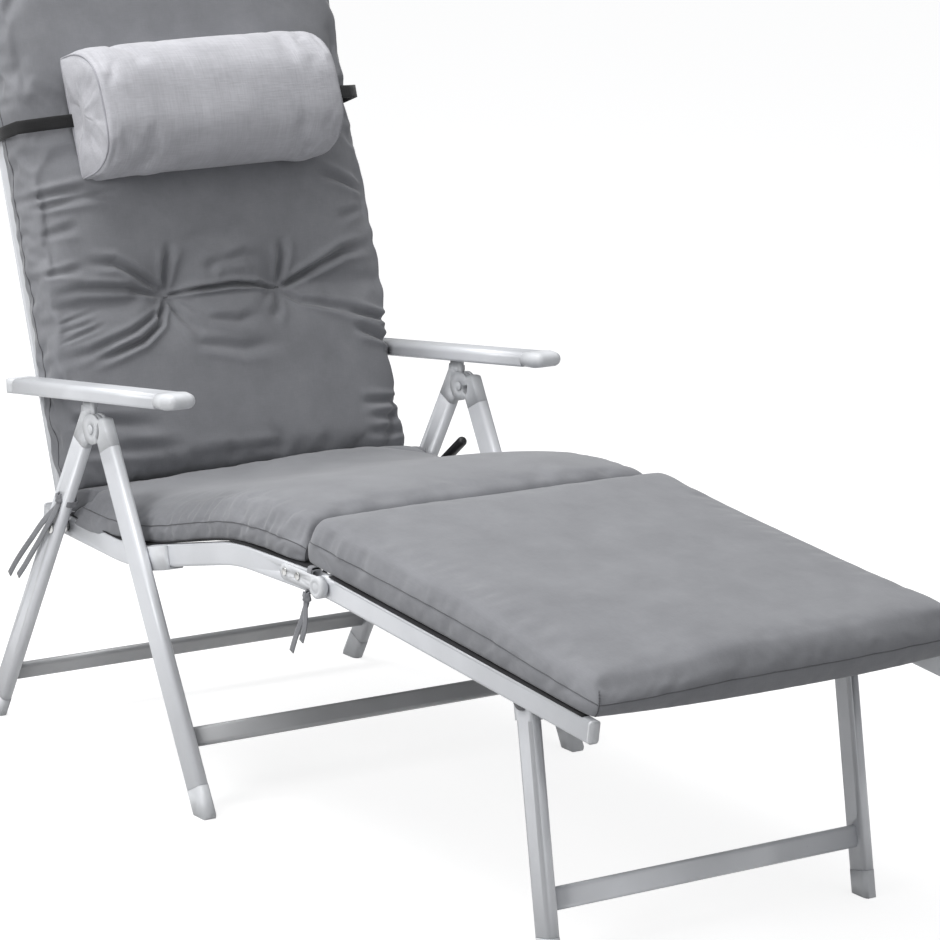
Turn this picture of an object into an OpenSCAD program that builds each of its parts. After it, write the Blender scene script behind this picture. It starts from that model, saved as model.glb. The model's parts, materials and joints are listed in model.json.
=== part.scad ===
// Folding sun lounger with seat, back and leg rest pads, a neck pillow and two
// arm rests that rack the back. Millimetres, Z up. The occupant faces -Y, so the
// left side is +X. The origin lies on the floor under the middle of the outline.

/* [Frame layout] */
// Overall width over the two arm rests
overall_w = 634; // [610:1:680]
// Height of the back hinge above the floor
hinge_h = 300; // [290:1:320]
// Lean of the back from upright
back_tilt = 21; // [18:1:24]
// Length of the back frame from its hinge to its top
back_len = 725; // [680:1:760]
// Distance from the back hinge forward to the knee hinge
knee_reach = 635; // [610:1:660]
// Height of the knee hinge above the back hinge
knee_rise = 57; // [45:1:65]
// Length of the leg rest from the knee hinge to its end
leg_rest_len = 528; // [500:1:570]
// Fall of the leg rest below level
leg_rest_fall = 4.8; // [3:0.2:6]

/* [Legs] */
// How far the rear feet stand behind the back hinge
rear_foot_y = 108; // [95:1:125]
// How far the front feet stand in front of the back hinge
front_foot_y = 417; // [400:1:440]
// How far the leg apex lies in front of the back hinge
apex_y = 133; // [125:1:145]
// Height of the leg apex above the floor
apex_h = 452; // [440:1:465]
// Offset of each leg's centre line from the apex pin
apex_offset = 19.5; // [19:0.5:22]
// Depth of a front leg, seen from the side
front_leg_d = 36; // [33:1:37]
// Thickness of a front leg across the lounger
front_leg_w = 17; // [15:1:18]
// Depth of a rear leg, seen from the side
rear_leg_d = 33; // [30:1:34]
// Thickness of a rear leg across the lounger
rear_leg_w = 16; // [14:1:17]
// Wall of the leg tubes
leg_wall = 1.4; // [1:0.1:2]
// Height of the rear crossbar's middle above the floor
rear_bar_h = 66; // [50:1:90]
// Height of the front crossbar's middle above the floor
front_bar_h = 91; // [70:1:120]
// Depth of a crossbar along the legs
bar_d = 26; // [20:1:28]
// Thickness of a crossbar
bar_w = 12; // [10:1:14]

/* [Stand under the leg rest] */
// Distance of the stand's hinge from the knee hinge
stand_reach = 368; // [350:1:375]
// Height of the stand's hinge above the floor
stand_hinge_h = 306; // [304:0.5:308]
// Angle of the stand forward of straight down
stand_splay = 12.3; // [10:0.1:18]
// Depth of a stand leg, seen from the side
stand_leg_d = 33; // [28:1:34]
// Thickness of a stand leg across the lounger
stand_leg_w = 18; // [15:1:19]
// Height of the stand's crossbar above the floor
stand_bar_h = 73; // [60:1:100]
// Depth of the stand's crossbar along the legs
stand_bar_d = 28; // [20:1:30]

/* [Rails and slings] */
// Depth of the seat and leg rest rails
rail_d = 30; // [28:1:32]
// Thickness of the seat and leg rest rails
rail_w = 16; // [15:1:18]
// Depth of the leg rest rails
leg_rail_d = 28; // [26:1:30]
// Depth of the back rails from front to rear
back_rail_d = 26; // [24:1:28]
// Thickness of the back rails
back_rail_w = 16; // [14:1:17]
// Wall of the rails
rail_wall = 1.4; // [1:0.1:2]
// Radius of the rail corners
rail_round = 4; // [2:0.5:5]
// Thickness of the sling fabric
sling_t = 2; // [1:0.5:3]
// Radius of the bends in the seat rails
bend_r = 300; // [200:10:320]

/* [Arm rests] */
// Width of an arm rest
arm_w = 44; // [42:1:50]
// Height of an arm rest
arm_h = 20; // [20:0.5:24]
// Wall of an arm rest
arm_wall = 2; // [1.5:0.1:2.2]
// Length of an arm rest in front of its hinge
arm_front = 404; // [390:1:430]
// Length of an arm rest behind its hinge
arm_rear = 14; // [13:1:20]
// Rise of an arm rest towards its front
arm_rise = 8.2; // [7:0.1:9]
// Distance of the arm hinge from the back hinge
arm_hinge_s = 183; // [178:1:188]
// Width of the slot under an arm rest
slot_w = 18; // [16:1:20]
// Positions of the arm rack
notches = 6; // [4:1:8]
// Least recline, measured from the pose shown
recline_min = -10; // [-12:1:-6]
// Largest recline, measured from the pose shown
recline_max = 40; // [30:1:42]
// Arm turn per degree of recline, measured against the floor
arm_turn_share = 0.33; // [0.32:0.01:0.36]

/* [Pads and pillow] */
// How far the seat and leg rest pads stop short of the arm rests' outer sides
pad_inset = 37; // [36:1:67]
// How far the back pad stops short of the arm rests' outer sides
back_pad_inset = 37; // [36:1:57]
// How far the pads lie off the middle, towards the left side
pad_shift = 6; // [0:1:6]
// Thickness of the seat pad at its crown
seat_pad_t = 64; // [50:1:70]
// Thickness of the leg rest pad at its crown
leg_pad_t = 62; // [50:1:70]
// Thickness of the back pad at its crown
back_pad_t = 60; // [50:1:64]
// How far the crease over the knee lies behind the knee hinge
knee_crease = 50; // [36:1:56]
// Distance of the tufts from the back hinge
tuft_s = 275; // [240:1:300]
// Distance of each tuft from the middle
tuft_x = 92; // [80:1:110]
// Place of the tufts' middle to the left of the chair's middle
tuft_shift = 15; // [0:1:20]
// Depth of the tufts
tuft_depth = 24; // [15:1:30]
// Length of the pillow
pillow_l = 384; // [360:1:430]
// Height of the pillow along the back
pillow_h = 180; // [150:1:190]
// Depth of the pillow
pillow_d = 92; // [80:1:105]
// Distance of the pillow's middle down from the top of the back frame
pillow_drop = 195; // [185:1:205]
// Width of the pillow's strap
strap_w = 18; // [10:1:20]

/* [Hinge hardware] */
// Radius of the pivot bolts
bolt_r = 4; // [3:0.5:4.5]
// Radius of the hinge rod under the back
rod_r = 5; // [4:0.5:6]
// Radius of the bolt heads
head_r = 8; // [7:0.5:9]
// Height of the bolt heads
head_h = 3.5; // [3:0.5:5]
// Radial running clearance of the pivots
run_clear = 0.05; // [0.02:0.01:0.1]
// Side clearance between pieces that turn against each other
side_clear = 0.3; // [0.2:0.1:0.6]
// Radius of the knobs at the knee
knob_r = 14; // [12:0.5:15]
// Thickness of the knobs at the knee
knob_t = 10; // [7:0.5:12]
// Thickness of the hinge plates
plate_t = 3; // [2:0.5:3]

/* [Hidden] */

$fn = 48;
round_fn = 48;
// Overrun of every cut past the faces that it goes through
over = 1;
// Gap that keeps soft pieces clear of their neighbours
soft_gap = 0.3;

// Colours, as the pieces look
paint = [0.84, 0.85, 0.87];
plastic = [0.80, 0.82, 0.84];
steel = [0.72, 0.72, 0.72];
black = [0.12, 0.12, 0.13];
dark_grey = [0.36, 0.36, 0.37];
pad_grey = [0.50, 0.50, 0.52];
pillow_grey = [0.75, 0.75, 0.77];
tape_grey = [0.45, 0.45, 0.46];

// Places across the lounger, from the middle out
arm_x = overall_w / 2 - arm_w / 2;
leg_offset = 5;
leg_x = arm_x + leg_offset;
leg_gap = 9;
rail_x = leg_x - front_leg_w / 2 - leg_gap - rail_w / 2;
back_gap = 1;
back_x = rail_x - rail_w / 2 - back_gap - back_rail_w / 2;
stand_gap = 11;
stand_x = rail_x - rail_w / 2 - stand_gap - stand_leg_w / 2;
leg_rail_w = rail_w - 2 * side_clear;

// Places in the side view, as [y, z] from the floor under the back hinge
hinge = [0, hinge_h];
knee = [-knee_reach, hinge_h + knee_rise];
apex = [-apex_y, apex_h];
back_dir = [sin(back_tilt), cos(back_tilt)];
leg_dir = [-cos(leg_rest_fall), -sin(leg_rest_fall)];
arm_hinge = hinge + arm_hinge_s * back_dir;
stand_hinge = [knee.x - stand_reach, stand_hinge_h];

// Lean of a leg whose centre line passes the apex pin at the apex offset
rear_span = norm(apex - [rear_foot_y, 0]);
front_span = norm(apex - [-front_foot_y, 0]);
rear_lean = atan2(rear_foot_y + apex_y, apex_h) - asin(apex_offset / rear_span);
front_lean = atan2(front_foot_y - apex_y, apex_h) - asin(apex_offset / front_span);
rear_leg_reach = sqrt(rear_span * rear_span - apex_offset * apex_offset);
front_leg_reach = sqrt(front_span * front_span - apex_offset * apex_offset);

// Corners of the seat rail's centre line, from the knee end to the tail
knee_setback = 25;
front_bend_share = 0.69;
rear_bend_share = 0.307;
rear_bend_drop = 9;
tail_len = 20;
front_bend_drop = 4;
rail_points = [
  [knee.x + knee_setback, knee.y],
  [-knee_reach * front_bend_share, knee.y - front_bend_drop],
  [-knee_reach * rear_bend_share, hinge_h - rear_bend_drop],
  [tail_len, hinge_h - 1 * tail_len / hinge_h]
];

// The leg pivot lies where the rear leg crosses the tail of the seat rail
pivot_y = rear_foot_y - hinge_h * tan(rear_lean);
leg_pivot = [pivot_y, rail_z(pivot_y)];

// The whole outline is centred on the origin by this shift along Y
rail_cap_t = 4;
foot_end = knee + (leg_rest_len + rail_cap_t) * leg_dir;
head_end = hinge.x + back_len * back_dir.x + back_rail_d / 2 * back_dir.y;
centre_shift = -(foot_end.x + head_end) / 2;

// Height of the seat rail's centre line above the floor at y. The bends are
// drawn as parabolas between their tangent points.
function slope(a, b) = (b.y - a.y) / (b.x - a.x);
function bend_reach(i) = bend_r * tan(abs(turn(i)) / 2);
function heading(i) = atan(slope(rail_points[i], rail_points[i + 1]));
function turn(i) = heading(i) - heading(i - 1);
function on_run(i, y) = rail_points[i].y + (y - rail_points[i].x) * slope(rail_points[i], rail_points[i + 1]);
function bend_lift(i, y) =
  let (from = rail_points[i].x - bend_reach(i), part = (y - from) / (2 * bend_reach(i)))
  (slope(rail_points[i], rail_points[i + 1]) - slope(rail_points[i - 1], rail_points[i]))
  * bend_reach(i) * part * part;
function in_bend(i, y) = abs(y - rail_points[i].x) < bend_reach(i);
function rail_z(y) =
  in_bend(1, y) ? on_run(0, y) + bend_lift(1, y)
  : in_bend(2, y) ? on_run(1, y) + bend_lift(2, y)
  : y < rail_points[1].x ? on_run(0, y)
  : y < rail_points[2].x ? on_run(1, y)
  : on_run(2, y);

// Placement frames. Side-view pieces are drawn in [y, z] and run across in X.
module placed() translate([0, centre_shift, 0]) children();

module side(x0, x1) {
  translate([x0, 0, 0])
    rotate([90, 0, 90])
      linear_extrude(x1 - x0) children();
}

module both_sides() {
  children();
  mirror([1, 0, 0]) children();
}

// Back frame: Y up along the back, Z out of its front face
module back_frame() {
  translate([0, hinge.x, hinge.y])
    rotate([90 - back_tilt, 0, 0]) children();
}

// Leg rest frame: -Y out from the knee hinge to the foot end
module leg_frame() {
  translate([0, knee.x, knee.y])
    rotate([leg_rest_fall, 0, 0]) children();
}

// Arm frame: -Y from the arm hinge to the front tip
module arm_frame() {
  translate([0, arm_hinge.x, arm_hinge.y])
    rotate([-arm_rise, 0, 0]) children();
}

// Leg frames: Z up along the leg from its foot
module rear_leg_frame() {
  translate([0, rear_foot_y, 0])
    rotate([rear_lean, 0, 0]) children();
}

module front_leg_frame() {
  translate([0, -front_foot_y, 0])
    rotate([-front_lean, 0, 0]) children();
}

// Stand frame: Z up along the stand, from its hinge
module stand_frame() {
  translate([0, stand_hinge.x, stand_hinge.y])
    rotate([-stand_splay, 0, 0]) children();
}

// A bar along Y from y0 to y1 of a section drawn in [x, -z]
module along_y(y0, y1) {
  translate([0, y0, 0])
    rotate([-90, 0, 0])
      linear_extrude(y1 - y0) children();
}

// Sections
module round_box(size, r) {
  square([size.x - 2 * r, size.y], center = true);
  square([size.x, size.y - 2 * r], center = true);
  for (sx = [-1, 1])
    for (sy = [-1, 1])
      translate([sx * (size.x / 2 - r), sy * (size.y / 2 - r)]) circle(r, $fn = round_fn);
}

module tube_section(size, r, wall) {
  difference() {
    round_box(size, r);
    round_box([size.x - 2 * wall, size.y - 2 * wall], r - wall);
  }
}

// A bolt along X from x0 to x1 with a domed head on each end
module cross_bolt(x0, x1, r, cap_r, cap_h) {
  edge = cap_h / 3;
  translate([x0, 0, 0])
    rotate([0, 90, 0])
      rotate_extrude()
        polygon([
          [0, -cap_h], [cap_r - edge, -cap_h], [cap_r, -cap_h + edge], [cap_r, 0],
          [r, 0], [r, x1 - x0], [cap_r, x1 - x0], [cap_r, x1 - x0 + cap_h - edge],
          [cap_r - edge, x1 - x0 + cap_h], [0, x1 - x0 + cap_h]
        ]);
}

module cross_bore(x0, x1, r) {
  translate([x0 - over, 0, 0])
    rotate([0, 90, 0]) cylinder(r = r, h = x1 - x0 + 2 * over);
}

module cross_ring(x0, x1, outer_r, inner_r) {
  translate([x0, 0, 0])
    rotate([0, 90, 0])
      difference() {
        cylinder(r = outer_r, h = x1 - x0);
        translate([0, 0, -over]) cylinder(r = inner_r, h = x1 - x0 + 2 * over);
      }
}

module at(p) translate([0, p.x, p.y]) children();

// Stations of the seat rails' centre line: both ends and steps over each bend
bend_steps = 6;
function bend_ys(i) = [
  for (k = [0:bend_steps])
    rail_points[i].x + bend_reach(i) * (2 * k / bend_steps - 1)
];
rail_ys = reverse_rings(concat([rail_points[0].x], bend_ys(1), bend_ys(2), [rail_points[3].x]));
function rail_slope(y) = (rail_z(y + over / 2) - rail_z(y - over / 2)) / over;
function rail_at(y, x, up) =
  let (k = rail_slope(y), n = sqrt(1 + k * k))
  [x, y - up * k / n, rail_z(y) + up / n];

// Outline of a rounded box as points [across, up]
corner_steps = 4;
function box_ring(w, d, r) = [
  for (q = [0:3])
    let (sx = q == 0 || q == 3 ? 1 : -1, sz = q < 2 ? 1 : -1)
    for (k = [0:corner_steps])
      let (a = 90 * (q + k / corner_steps))
      [sx * (w / 2 - r) + r * cos(a), sz * (d / 2 - r) + r * sin(a)]
];
function rail_rings(ys, x, ring) = [
  for (y = ys) [for (p = ring) rail_at(y, x + p.x, p.y)]
];

module seat_rail() {
  color(paint)
    difference() {
      tube_skin(
        rail_rings(rail_ys, rail_x, box_ring(rail_w, rail_d, rail_round)),
        rail_rings(rail_ys, rail_x, box_ring(rail_w - 2 * rail_wall, rail_d - 2 * rail_wall, rail_round - rail_wall))
      );
      at(hinge) cross_bore(rail_x - rail_w / 2, rail_x + rail_w / 2, rod_r + run_clear);
      at(leg_pivot) cross_bore(rail_x - rail_w / 2, rail_x + rail_w / 2, bolt_r + run_clear);
      for (p = plate_rivets) at(p) cross_bore(rail_x - rail_w / 2, rail_x + rail_w / 2, rivet_r);
    }
}
module seat_rail_left() placed() seat_rail();
module seat_rail_right() placed() mirror([1, 0, 0]) seat_rail();

// Plugs in the open tails of the seat rails
plug_t = 3;
plug_depth = 12;
plug_fit = 0.1;
module rail_plug(size, r, wall) {
  linear_extrude(plug_t) round_box(size, r);
  translate([0, 0, -plug_depth])
    linear_extrude(plug_depth + over)
      round_box([size.x - 2 * (wall + plug_fit), size.y - 2 * (wall + plug_fit)], r - wall);
}

module seat_rail_plugs() {
  tail = rail_points[3];
  color(plastic)
    placed() both_sides()
      translate([rail_x, tail.x, tail.y])
        rotate([heading(2), 0, 0])
          rotate([-90, 0, 0]) rail_plug([rail_w, rail_d], rail_round, rail_wall);
}

// Spreader tube between the seat rails, behind the knee
spreader_r = 8;
spreader_wall = 1.2;
spreader_back = 135;
module spreader(inner_x) {
  rotate([0, 90, 0])
    difference() {
      cylinder(r = spreader_r, h = 2 * inner_x, center = true);
      cylinder(r = spreader_r - spreader_wall, h = 2 * (inner_x - plug_t), center = true);
    }
}

module seat_spreader() {
  y = knee.x + spreader_back;
  color(paint) placed() at([y, rail_z(y)]) spreader(rail_x - rail_w / 2);
}

// Hinge rod of the back, through the seat rails and the back rails
module hinge_rod() {
  x_end = rail_x + rail_w / 2;
    color(steel)
    placed() at(hinge) cross_bolt(-x_end, x_end, rod_r, head_r, head_h);
}

// Knee hinge: plates riveted to the seat rails, with the knobs outside
plate_d = 20;
rivet_r = 3;
rivet_head_r = 5;
rivet_head_h = 1.6;
rivet_far = 80;
rivet_near = 52;
plate_rivets = [for (d = [rivet_far, rivet_near]) [knee.x + d, rail_z(knee.x + d) + 2]];
rail_outer = rail_x + rail_w / 2;
rail_inner = rail_x - rail_w / 2;

module plate_outline() {
  difference() {
    union() {
      translate(knee) circle(plate_d / 2 + side_clear);
      translate(plate_rivets[0]) circle(plate_d / 2);
      polygon([
        knee + [0, plate_d / 2], plate_rivets[0] + [0, plate_d / 2],
        plate_rivets[0] - [0, plate_d / 2], knee - [0, plate_d / 2]
      ]);
    }
    translate(knee) circle(bolt_r + run_clear);
    for (p = plate_rivets) translate(p) circle(rivet_r);
  }
}

module knee_plates() {
  color(plastic)
    placed() both_sides() {
      side(rail_outer, rail_outer + plate_t) plate_outline();
      side(rail_inner - plate_t, rail_inner) plate_outline();
    }
}

// Knob and pivot bolt in one: a domed disc with a ring groove
module knee_knobs() {
  groove = 1.2;
  inner_end = rail_inner - plate_t;
  reach = rail_outer + plate_t - inner_end;
  color(plastic)
    placed() both_sides()
      translate([inner_end, knee.x, knee.y])
        rotate([0, 90, 0])
          rotate_extrude()
            polygon([
              [0, -head_h], [head_r - groove, -head_h], [head_r, -head_h + groove], [head_r, 0],
              [bolt_r, 0], [bolt_r, reach], [knob_r, reach], [knob_r, reach + knob_t - 2 * groove],
              [knob_r - 2 * groove, reach + knob_t], [knob_r / 2 + groove, reach + knob_t],
              [knob_r / 2, reach + knob_t - groove], [knob_r / 2 - groove, reach + knob_t],
              [0, reach + knob_t]
            ]);
}

module knee_rivets() {
  color(steel)
    placed() both_sides()
      for (p = plate_rivets)
        at(p)
          cross_bolt(
            rail_inner - plate_t, rail_outer + plate_t, rivet_r,
            rivet_head_r, rivet_head_h
          );
}

// Slings lie on the rails, with a hem bar at each end
sling_edge = 1;
sling_rear = 36;
module seat_sling() {
  half = rail_outer - sling_edge;
  low = rail_d / 2;
  ring = [[half, low], [half, low + sling_t], [-half, low + sling_t], [-half, low]];
  ys = concat([-sling_rear], [for (i = [1:len(rail_ys) - 1]) rail_ys[i]]);
  color(black) placed() skin(rail_rings(ys, 0, ring));
}

// A pad as one closed skin. Each ring is a cross-section of the pad: its flat
// base, a side, the crowned top and the other side. Ring i lies at shares[i]
// of the length. The functions give the half width, the height of the top at
// a share across, and the place of a ring point.
side_steps = 3;
top_steps = 20;
function end_round(v, edge) = let (d = min(v, 1 - v)) d >= edge ? 1 : sqrt(max(0, 1 - pow(1 - d / edge, 2)));

// Seat pad along the rails
pad_w = overall_w - 2 * pad_inset;
back_pad_w = overall_w - 2 * back_pad_inset;
pad_half = pad_w / 2;
pad_draw = 5;
pad_edge_share = 0.76;
seat_pad_rear = 71;
seat_pad_lean = 0.19;
seat_pad_front = knee_reach - knee_crease - 1.5 * sling_t;
pad_rings = 25;
pad_end_share = 0.07;
seat_base = rail_d / 2 + sling_t + 2 * soft_gap;
leg_base = leg_rail_d / 2 + sling_t + soft_gap;
back_base = back_rail_d / 2 + sling_t + soft_gap;

// Height of a pad's top at share u across and share v along
function crown(u, v, t, edge_share, end_share) =
  let (rim = end_share + (1 - end_share) * end_round(v, pad_end_share))
  t * rim * (edge_share + (1 - edge_share) * (1 - pow(abs(u), 3.2)));

function side_in(k) = pad_draw * (1 - sin(180 * k / (side_steps + 1)));
function pad_x(lo, hi, k) =
  k == 0 ? lo + pad_draw
  : k == top_steps ? hi - pad_draw
  : lo + (hi - lo) * k / top_steps;
function pad_ring(lo, hi, top) =
  concat(
    [[lo + pad_draw, 0], [hi - pad_draw, 0]],
    [for (k = [1:side_steps]) [hi - side_in(k), top[top_steps] * k / (side_steps + 1)]],
    [for (k = [top_steps:-1:0]) [pad_x(lo, hi, k), top[k]]],
    [for (k = [side_steps:-1:1]) [lo + side_in(k), top[0] * k / (side_steps + 1)]]
  );

// Closes a list of equal rings of 3D points into a solid
function walls(m, n, closed) = [
  for (i = [0:m - (closed ? 1 : 2)])
    for (j = [0:n - 1])
      let (
        p = i * n + j,
        q = i * n + (j + 1) % n,
        r = (i + 1) % m * n + (j + 1) % n,
        t = (i + 1) % m * n + j
      )
      each [[p, t, q], [q, t, r]]
];
module skin(rings) {
  n = len(rings[0]);
  m = len(rings);
  last = (m - 1) * n;
  polyhedron(
    [for (ring = rings) for (p = ring) p],
    concat(
      walls(m, n, false),
      [for (j = [1:n - 2]) [0, j, j + 1]],
      [for (j = [1:n - 2]) [last, last + j + 1, last + j]]
    ),
    convexity = 6
  );
}

// A tube: the outer rings, then the inner rings back again, closed at the ends
module tube_skin(outer, inner) {
  rings = concat(outer, reverse_rings(inner));
  polyhedron(
    [for (ring = rings) for (p = ring) p],
    walls(len(rings), len(rings[0]), true),
    convexity = 6
  );
}

// Width of a pad drawn in between its corners and rounded at its ends
waist = 4;
function pad_width(v) = pad_half - waist * pow(sin(180 * v), 2) - pad_draw * (1 - end_round(v, pad_end_share));

// The seat pad's left edge keeps clear of the lock lever
lever_notch = 19;
lever_zone = 190;
function notch(y) = lever_notch * ease((lever_zone + y) / pinch_blend + 1);

module seat_pad() {
  rings = [
    for (i = [0:pad_rings - 1])
      let (
        v = i / (pad_rings - 1),
        y = -seat_pad_rear - (seat_pad_front - seat_pad_rear) * v,
        z = rail_z(y) + seat_base * norm([1, rail_slope(y)]),
        tops = [for (k = [0:top_steps]) crown(2 * k / top_steps - 1, v, seat_pad_t, pad_edge_share, pad_edge_share)]
      )
      [
        for (p = pad_ring(pad_shift - pad_width(v), pad_shift + pad_width(v) - notch(y), tops))
          [p.x, y + seat_pad_lean * p.y * pow(1 - v, 6), z + p.y]
      ]
  ];
  color(pad_grey) placed() skin(rings);
}

pad_over = 8;
module leg_pad() {
  start = knee_crease;
  length = knee_crease + leg_rest_len + pad_over;
  rings = [
    for (i = [0:pad_rings - 1])
      let (
        v = i / (pad_rings - 1),
        y = start - length * v,
        tops = [for (k = [0:top_steps]) crown(2 * k / top_steps - 1, v, leg_pad_t, 0.86, 0.84)]
      )
      [for (p = pad_ring(pad_shift - pad_width(v), pad_shift + pad_width(v), tops)) [p.x, y, leg_base + p.y]]
  ];
  color(pad_grey) placed() leg_frame() skin(rings);
}

// Back pad: crowned, with two tufts pulled in and a crease between them
back_pad_low = 22;
back_pad_high = back_len + 10;
back_rings = 41;
tuft_r = 42;
crease_r = 20;
// The pad is pinched between the arm rests
pinch_low = 92;
pinch_high = 206;
pinch_blend = 24;
squeeze_blend = 2 * pinch_blend;
function ease(t) = let (c = min(1, max(0, t))) c * c * (3 - 2 * c);
function pinch(s) = ease((s - pinch_low) / squeeze_blend + 1) * ease((pinch_high - s) / squeeze_blend + 1);
pinch_x = arm_x - arm_w / 2 - soft_gap;
function back_edge(s, v, way) =
  let (wide = back_pad_w / 2 + way * pad_shift)
  way * (wide - (wide - pinch_x) * pinch(s) - pad_draw * (1 - end_round(v, pad_end_share)));
function tuft_pull(x, s) =
  let (
    dx = abs(x - tuft_shift) - tuft_x,
    spot = exp(-(dx * dx + pow(s - tuft_s, 2)) / (tuft_r * tuft_r)),
    line = exp(-pow((s - tuft_s) / crease_r, 2)) * (dx < 0 ? 1 : exp(-pow(dx / tuft_r / 2, 2)))
  )
  tuft_depth * max(spot, 0.45 * line);

module back_pad() {
  length = back_pad_high - back_pad_low;
  rings = [
    for (i = [0:back_rings - 1])
      let (
        v = i / (back_rings - 1),
        s = back_pad_low + length * v,
        lo = back_edge(s, v, -1),
        hi = back_edge(s, v, 1),
        tops = [
          for (k = [0:top_steps])
            let (u = 2 * k / top_steps - 1)
            crown(u, v, back_pad_t, 0.75, 0.6) - tuft_pull(pad_shift + u * back_pad_w / 2, s)
        ]
      )
      [for (p = pad_ring(lo, hi, tops)) [p.x, s, back_base + p.y]]
  ];
  color(pad_grey) placed() back_frame() skin(reverse_rings(rings));
}
function reverse_rings(rings) = [for (i = [len(rings) - 1:-1:0]) rings[i]];

// Lever with a round grip, standing on the left seat rail beside the pad
lever_r = 7;
lever_l = 106;
lever_lean = 48;
lever_y = -84;
module lock_lever() {
  base_z = rail_z(lever_y) + rail_d / 2 + sling_t;
  x = rail_outer;
  color(black)
    placed()
      difference() {
        translate([x, lever_y, base_z])
          rotate([lever_lean, 0, 0])
            translate([0, 0, -2 * lever_r])
              rotate_extrude()
                polygon([
                  [0, 0], [lever_r, 0], [lever_r, lever_l + lever_r],
                  for (a = [0:15:90]) [lever_r * cos(a), lever_l + lever_r + lever_r * sin(a)]
                ]);
        translate([x - 2 * lever_r, lever_y - lever_l, base_z - lever_l])
          cube([4 * lever_r, 2 * lever_l, lever_l]);
      }
}

// Rear legs: flat-oval tubes from the feet to the apex hubs
tube_r_share = 0.42;
hub_clear_r = 21;
foot_floor = 4;
module leg_tube(x, d, w, z0, z1) {
  translate([x, 0, z0])
    linear_extrude(z1 - z0) tube_section([w, d], w * tube_r_share, leg_wall);
}

hub_body_l = 14;
rear_tube_top = rear_leg_reach - hub_clear_r - hub_body_l;
front_tube_top = front_leg_reach - hub_clear_r - hub_body_l;

module rear_leg() {
  color(paint)
    difference() {
      rear_leg_frame() leg_tube(leg_x, rear_leg_d, rear_leg_w, foot_start(rear_leg_d, rear_lean), rear_tube_top);
      at(leg_pivot) cross_bore(leg_x - rear_leg_w, leg_x + rear_leg_w, bolt_r + run_clear);
    }
}
module rear_leg_left() placed() rear_leg();
module rear_leg_right() placed() mirror([1, 0, 0]) rear_leg();

// Height along a leaning leg at which its square end clears the foot's floor
function foot_start(d, lean) = (foot_floor + d / 2 * sin(abs(lean))) / cos(lean);

module crossbar(x, w, d) {
  inner = x - w / 2;
  rotate([0, 90, 0])
    linear_extrude(2 * inner, center = true)
      difference() {
        round_box([d, bar_w], bar_w * tube_r_share);
        round_box([d - 2 * leg_wall, bar_w - 2 * leg_wall], bar_w * tube_r_share - leg_wall);
      }
}

module rear_crossbar() {
  color(paint)
    placed() rear_leg_frame()
      translate([0, 0, rear_bar_h / cos(rear_lean)]) crossbar(leg_x, rear_leg_w, bar_d);
}

// A foot cap: a sleeve over the leg's end, round in both views and cut flat
foot_wall = 0.3;
foot_l = 24;
module foot_cap(x, d, w, lean) {
  outer_d = d + 2 * foot_wall;
  outer_w = w + 2 * foot_wall;
  start = foot_start(d, lean);
  fit = 0.1;
  difference() {
    rotate([lean, 0, 0])
      difference() {
        intersection() {
          translate([x, 0, -outer_d])
            linear_extrude(outer_d + foot_l + start)
              round_box([outer_w, outer_d], outer_w * tube_r_share);
          side(x - outer_w, x + outer_w)
            union() {
              translate([0, start - foot_floor]) circle(outer_d / 2);
              translate([-outer_d / 2, start - foot_floor]) square([outer_d, foot_l + foot_floor]);
            }
        }
        translate([x, 0, start])
          linear_extrude(foot_l + outer_d)
            round_box([w + 2 * fit, d + 2 * fit], w * tube_r_share);
      }
    translate([x - outer_w, -2 * outer_d, -4 * outer_d])
      cube([2 * outer_w, 4 * outer_d, 4 * outer_d]);
  }
}

module rear_feet() {
  color(plastic)
    placed() both_sides()
      translate([0, rear_foot_y, 0]) foot_cap(leg_x, rear_leg_d, rear_leg_w, rear_lean);
}

// Apex hub on a rear leg: socket, tongue for the apex pin, and neck
hub_w = rear_leg_w;
hub_top_drop = 3.5;
cap_top_drop = 9.5;
tongue_w = 8;
tongue_r = 19;
cheek_r = 20;
neck_d = 26;
neck_top_d = 20;
neck_w = 13;
neck_gap = 14;
eye_r = 5.5;
arm_pin_r = 3;
arm_pin_l = 14;
// The neck's pin sits this far below the middle of the arm rest
arm_pin_drop = 4;
arm_pin_s = 182.5;
arm_pin = arm_hinge + arm_pin_s * [-cos(arm_rise), sin(arm_rise)] - arm_pin_drop * [sin(arm_rise), cos(arm_rise)];
rear_top = [rear_foot_y, 0] + rear_leg_reach * [-sin(rear_lean), cos(rear_lean)];
neck_top = arm_pin + 2 * arm_pin_r * (rear_top - arm_pin) / norm(rear_top - arm_pin);
neck_low = arm_pin + neck_gap * (rear_top - arm_pin) / norm(rear_top - arm_pin);
front_top = [-front_foot_y, 0] + front_leg_reach * [sin(front_lean), cos(front_lean)];

module thick_line(p, q, w0, w1) {
  d = (q - p) / norm(q - p);
  n = [-d.y, d.x];
  translate(p) circle(w0 / 2);
  translate(q) circle(w1 / 2);
  polygon([p + w0 / 2 * n, q + w1 / 2 * n, q - w1 / 2 * n, p - w0 / 2 * n]);
}

module hub_outline() {
  up = [-sin(rear_lean), cos(rear_lean)];
  low = rear_top - (hub_clear_r + hub_body_l) * up;
  outer = rear_leg_d;
  across = [cos(rear_lean), sin(rear_lean)];
  top = rear_top - hub_top_drop * up;
  polygon([
    low + outer / 2 * across, top + outer / 2 * across,
    top - outer / 2 * across, low - outer / 2 * across
  ]);
  translate(rear_top - hub_top_drop * up) circle(outer / 2);
}

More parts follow.
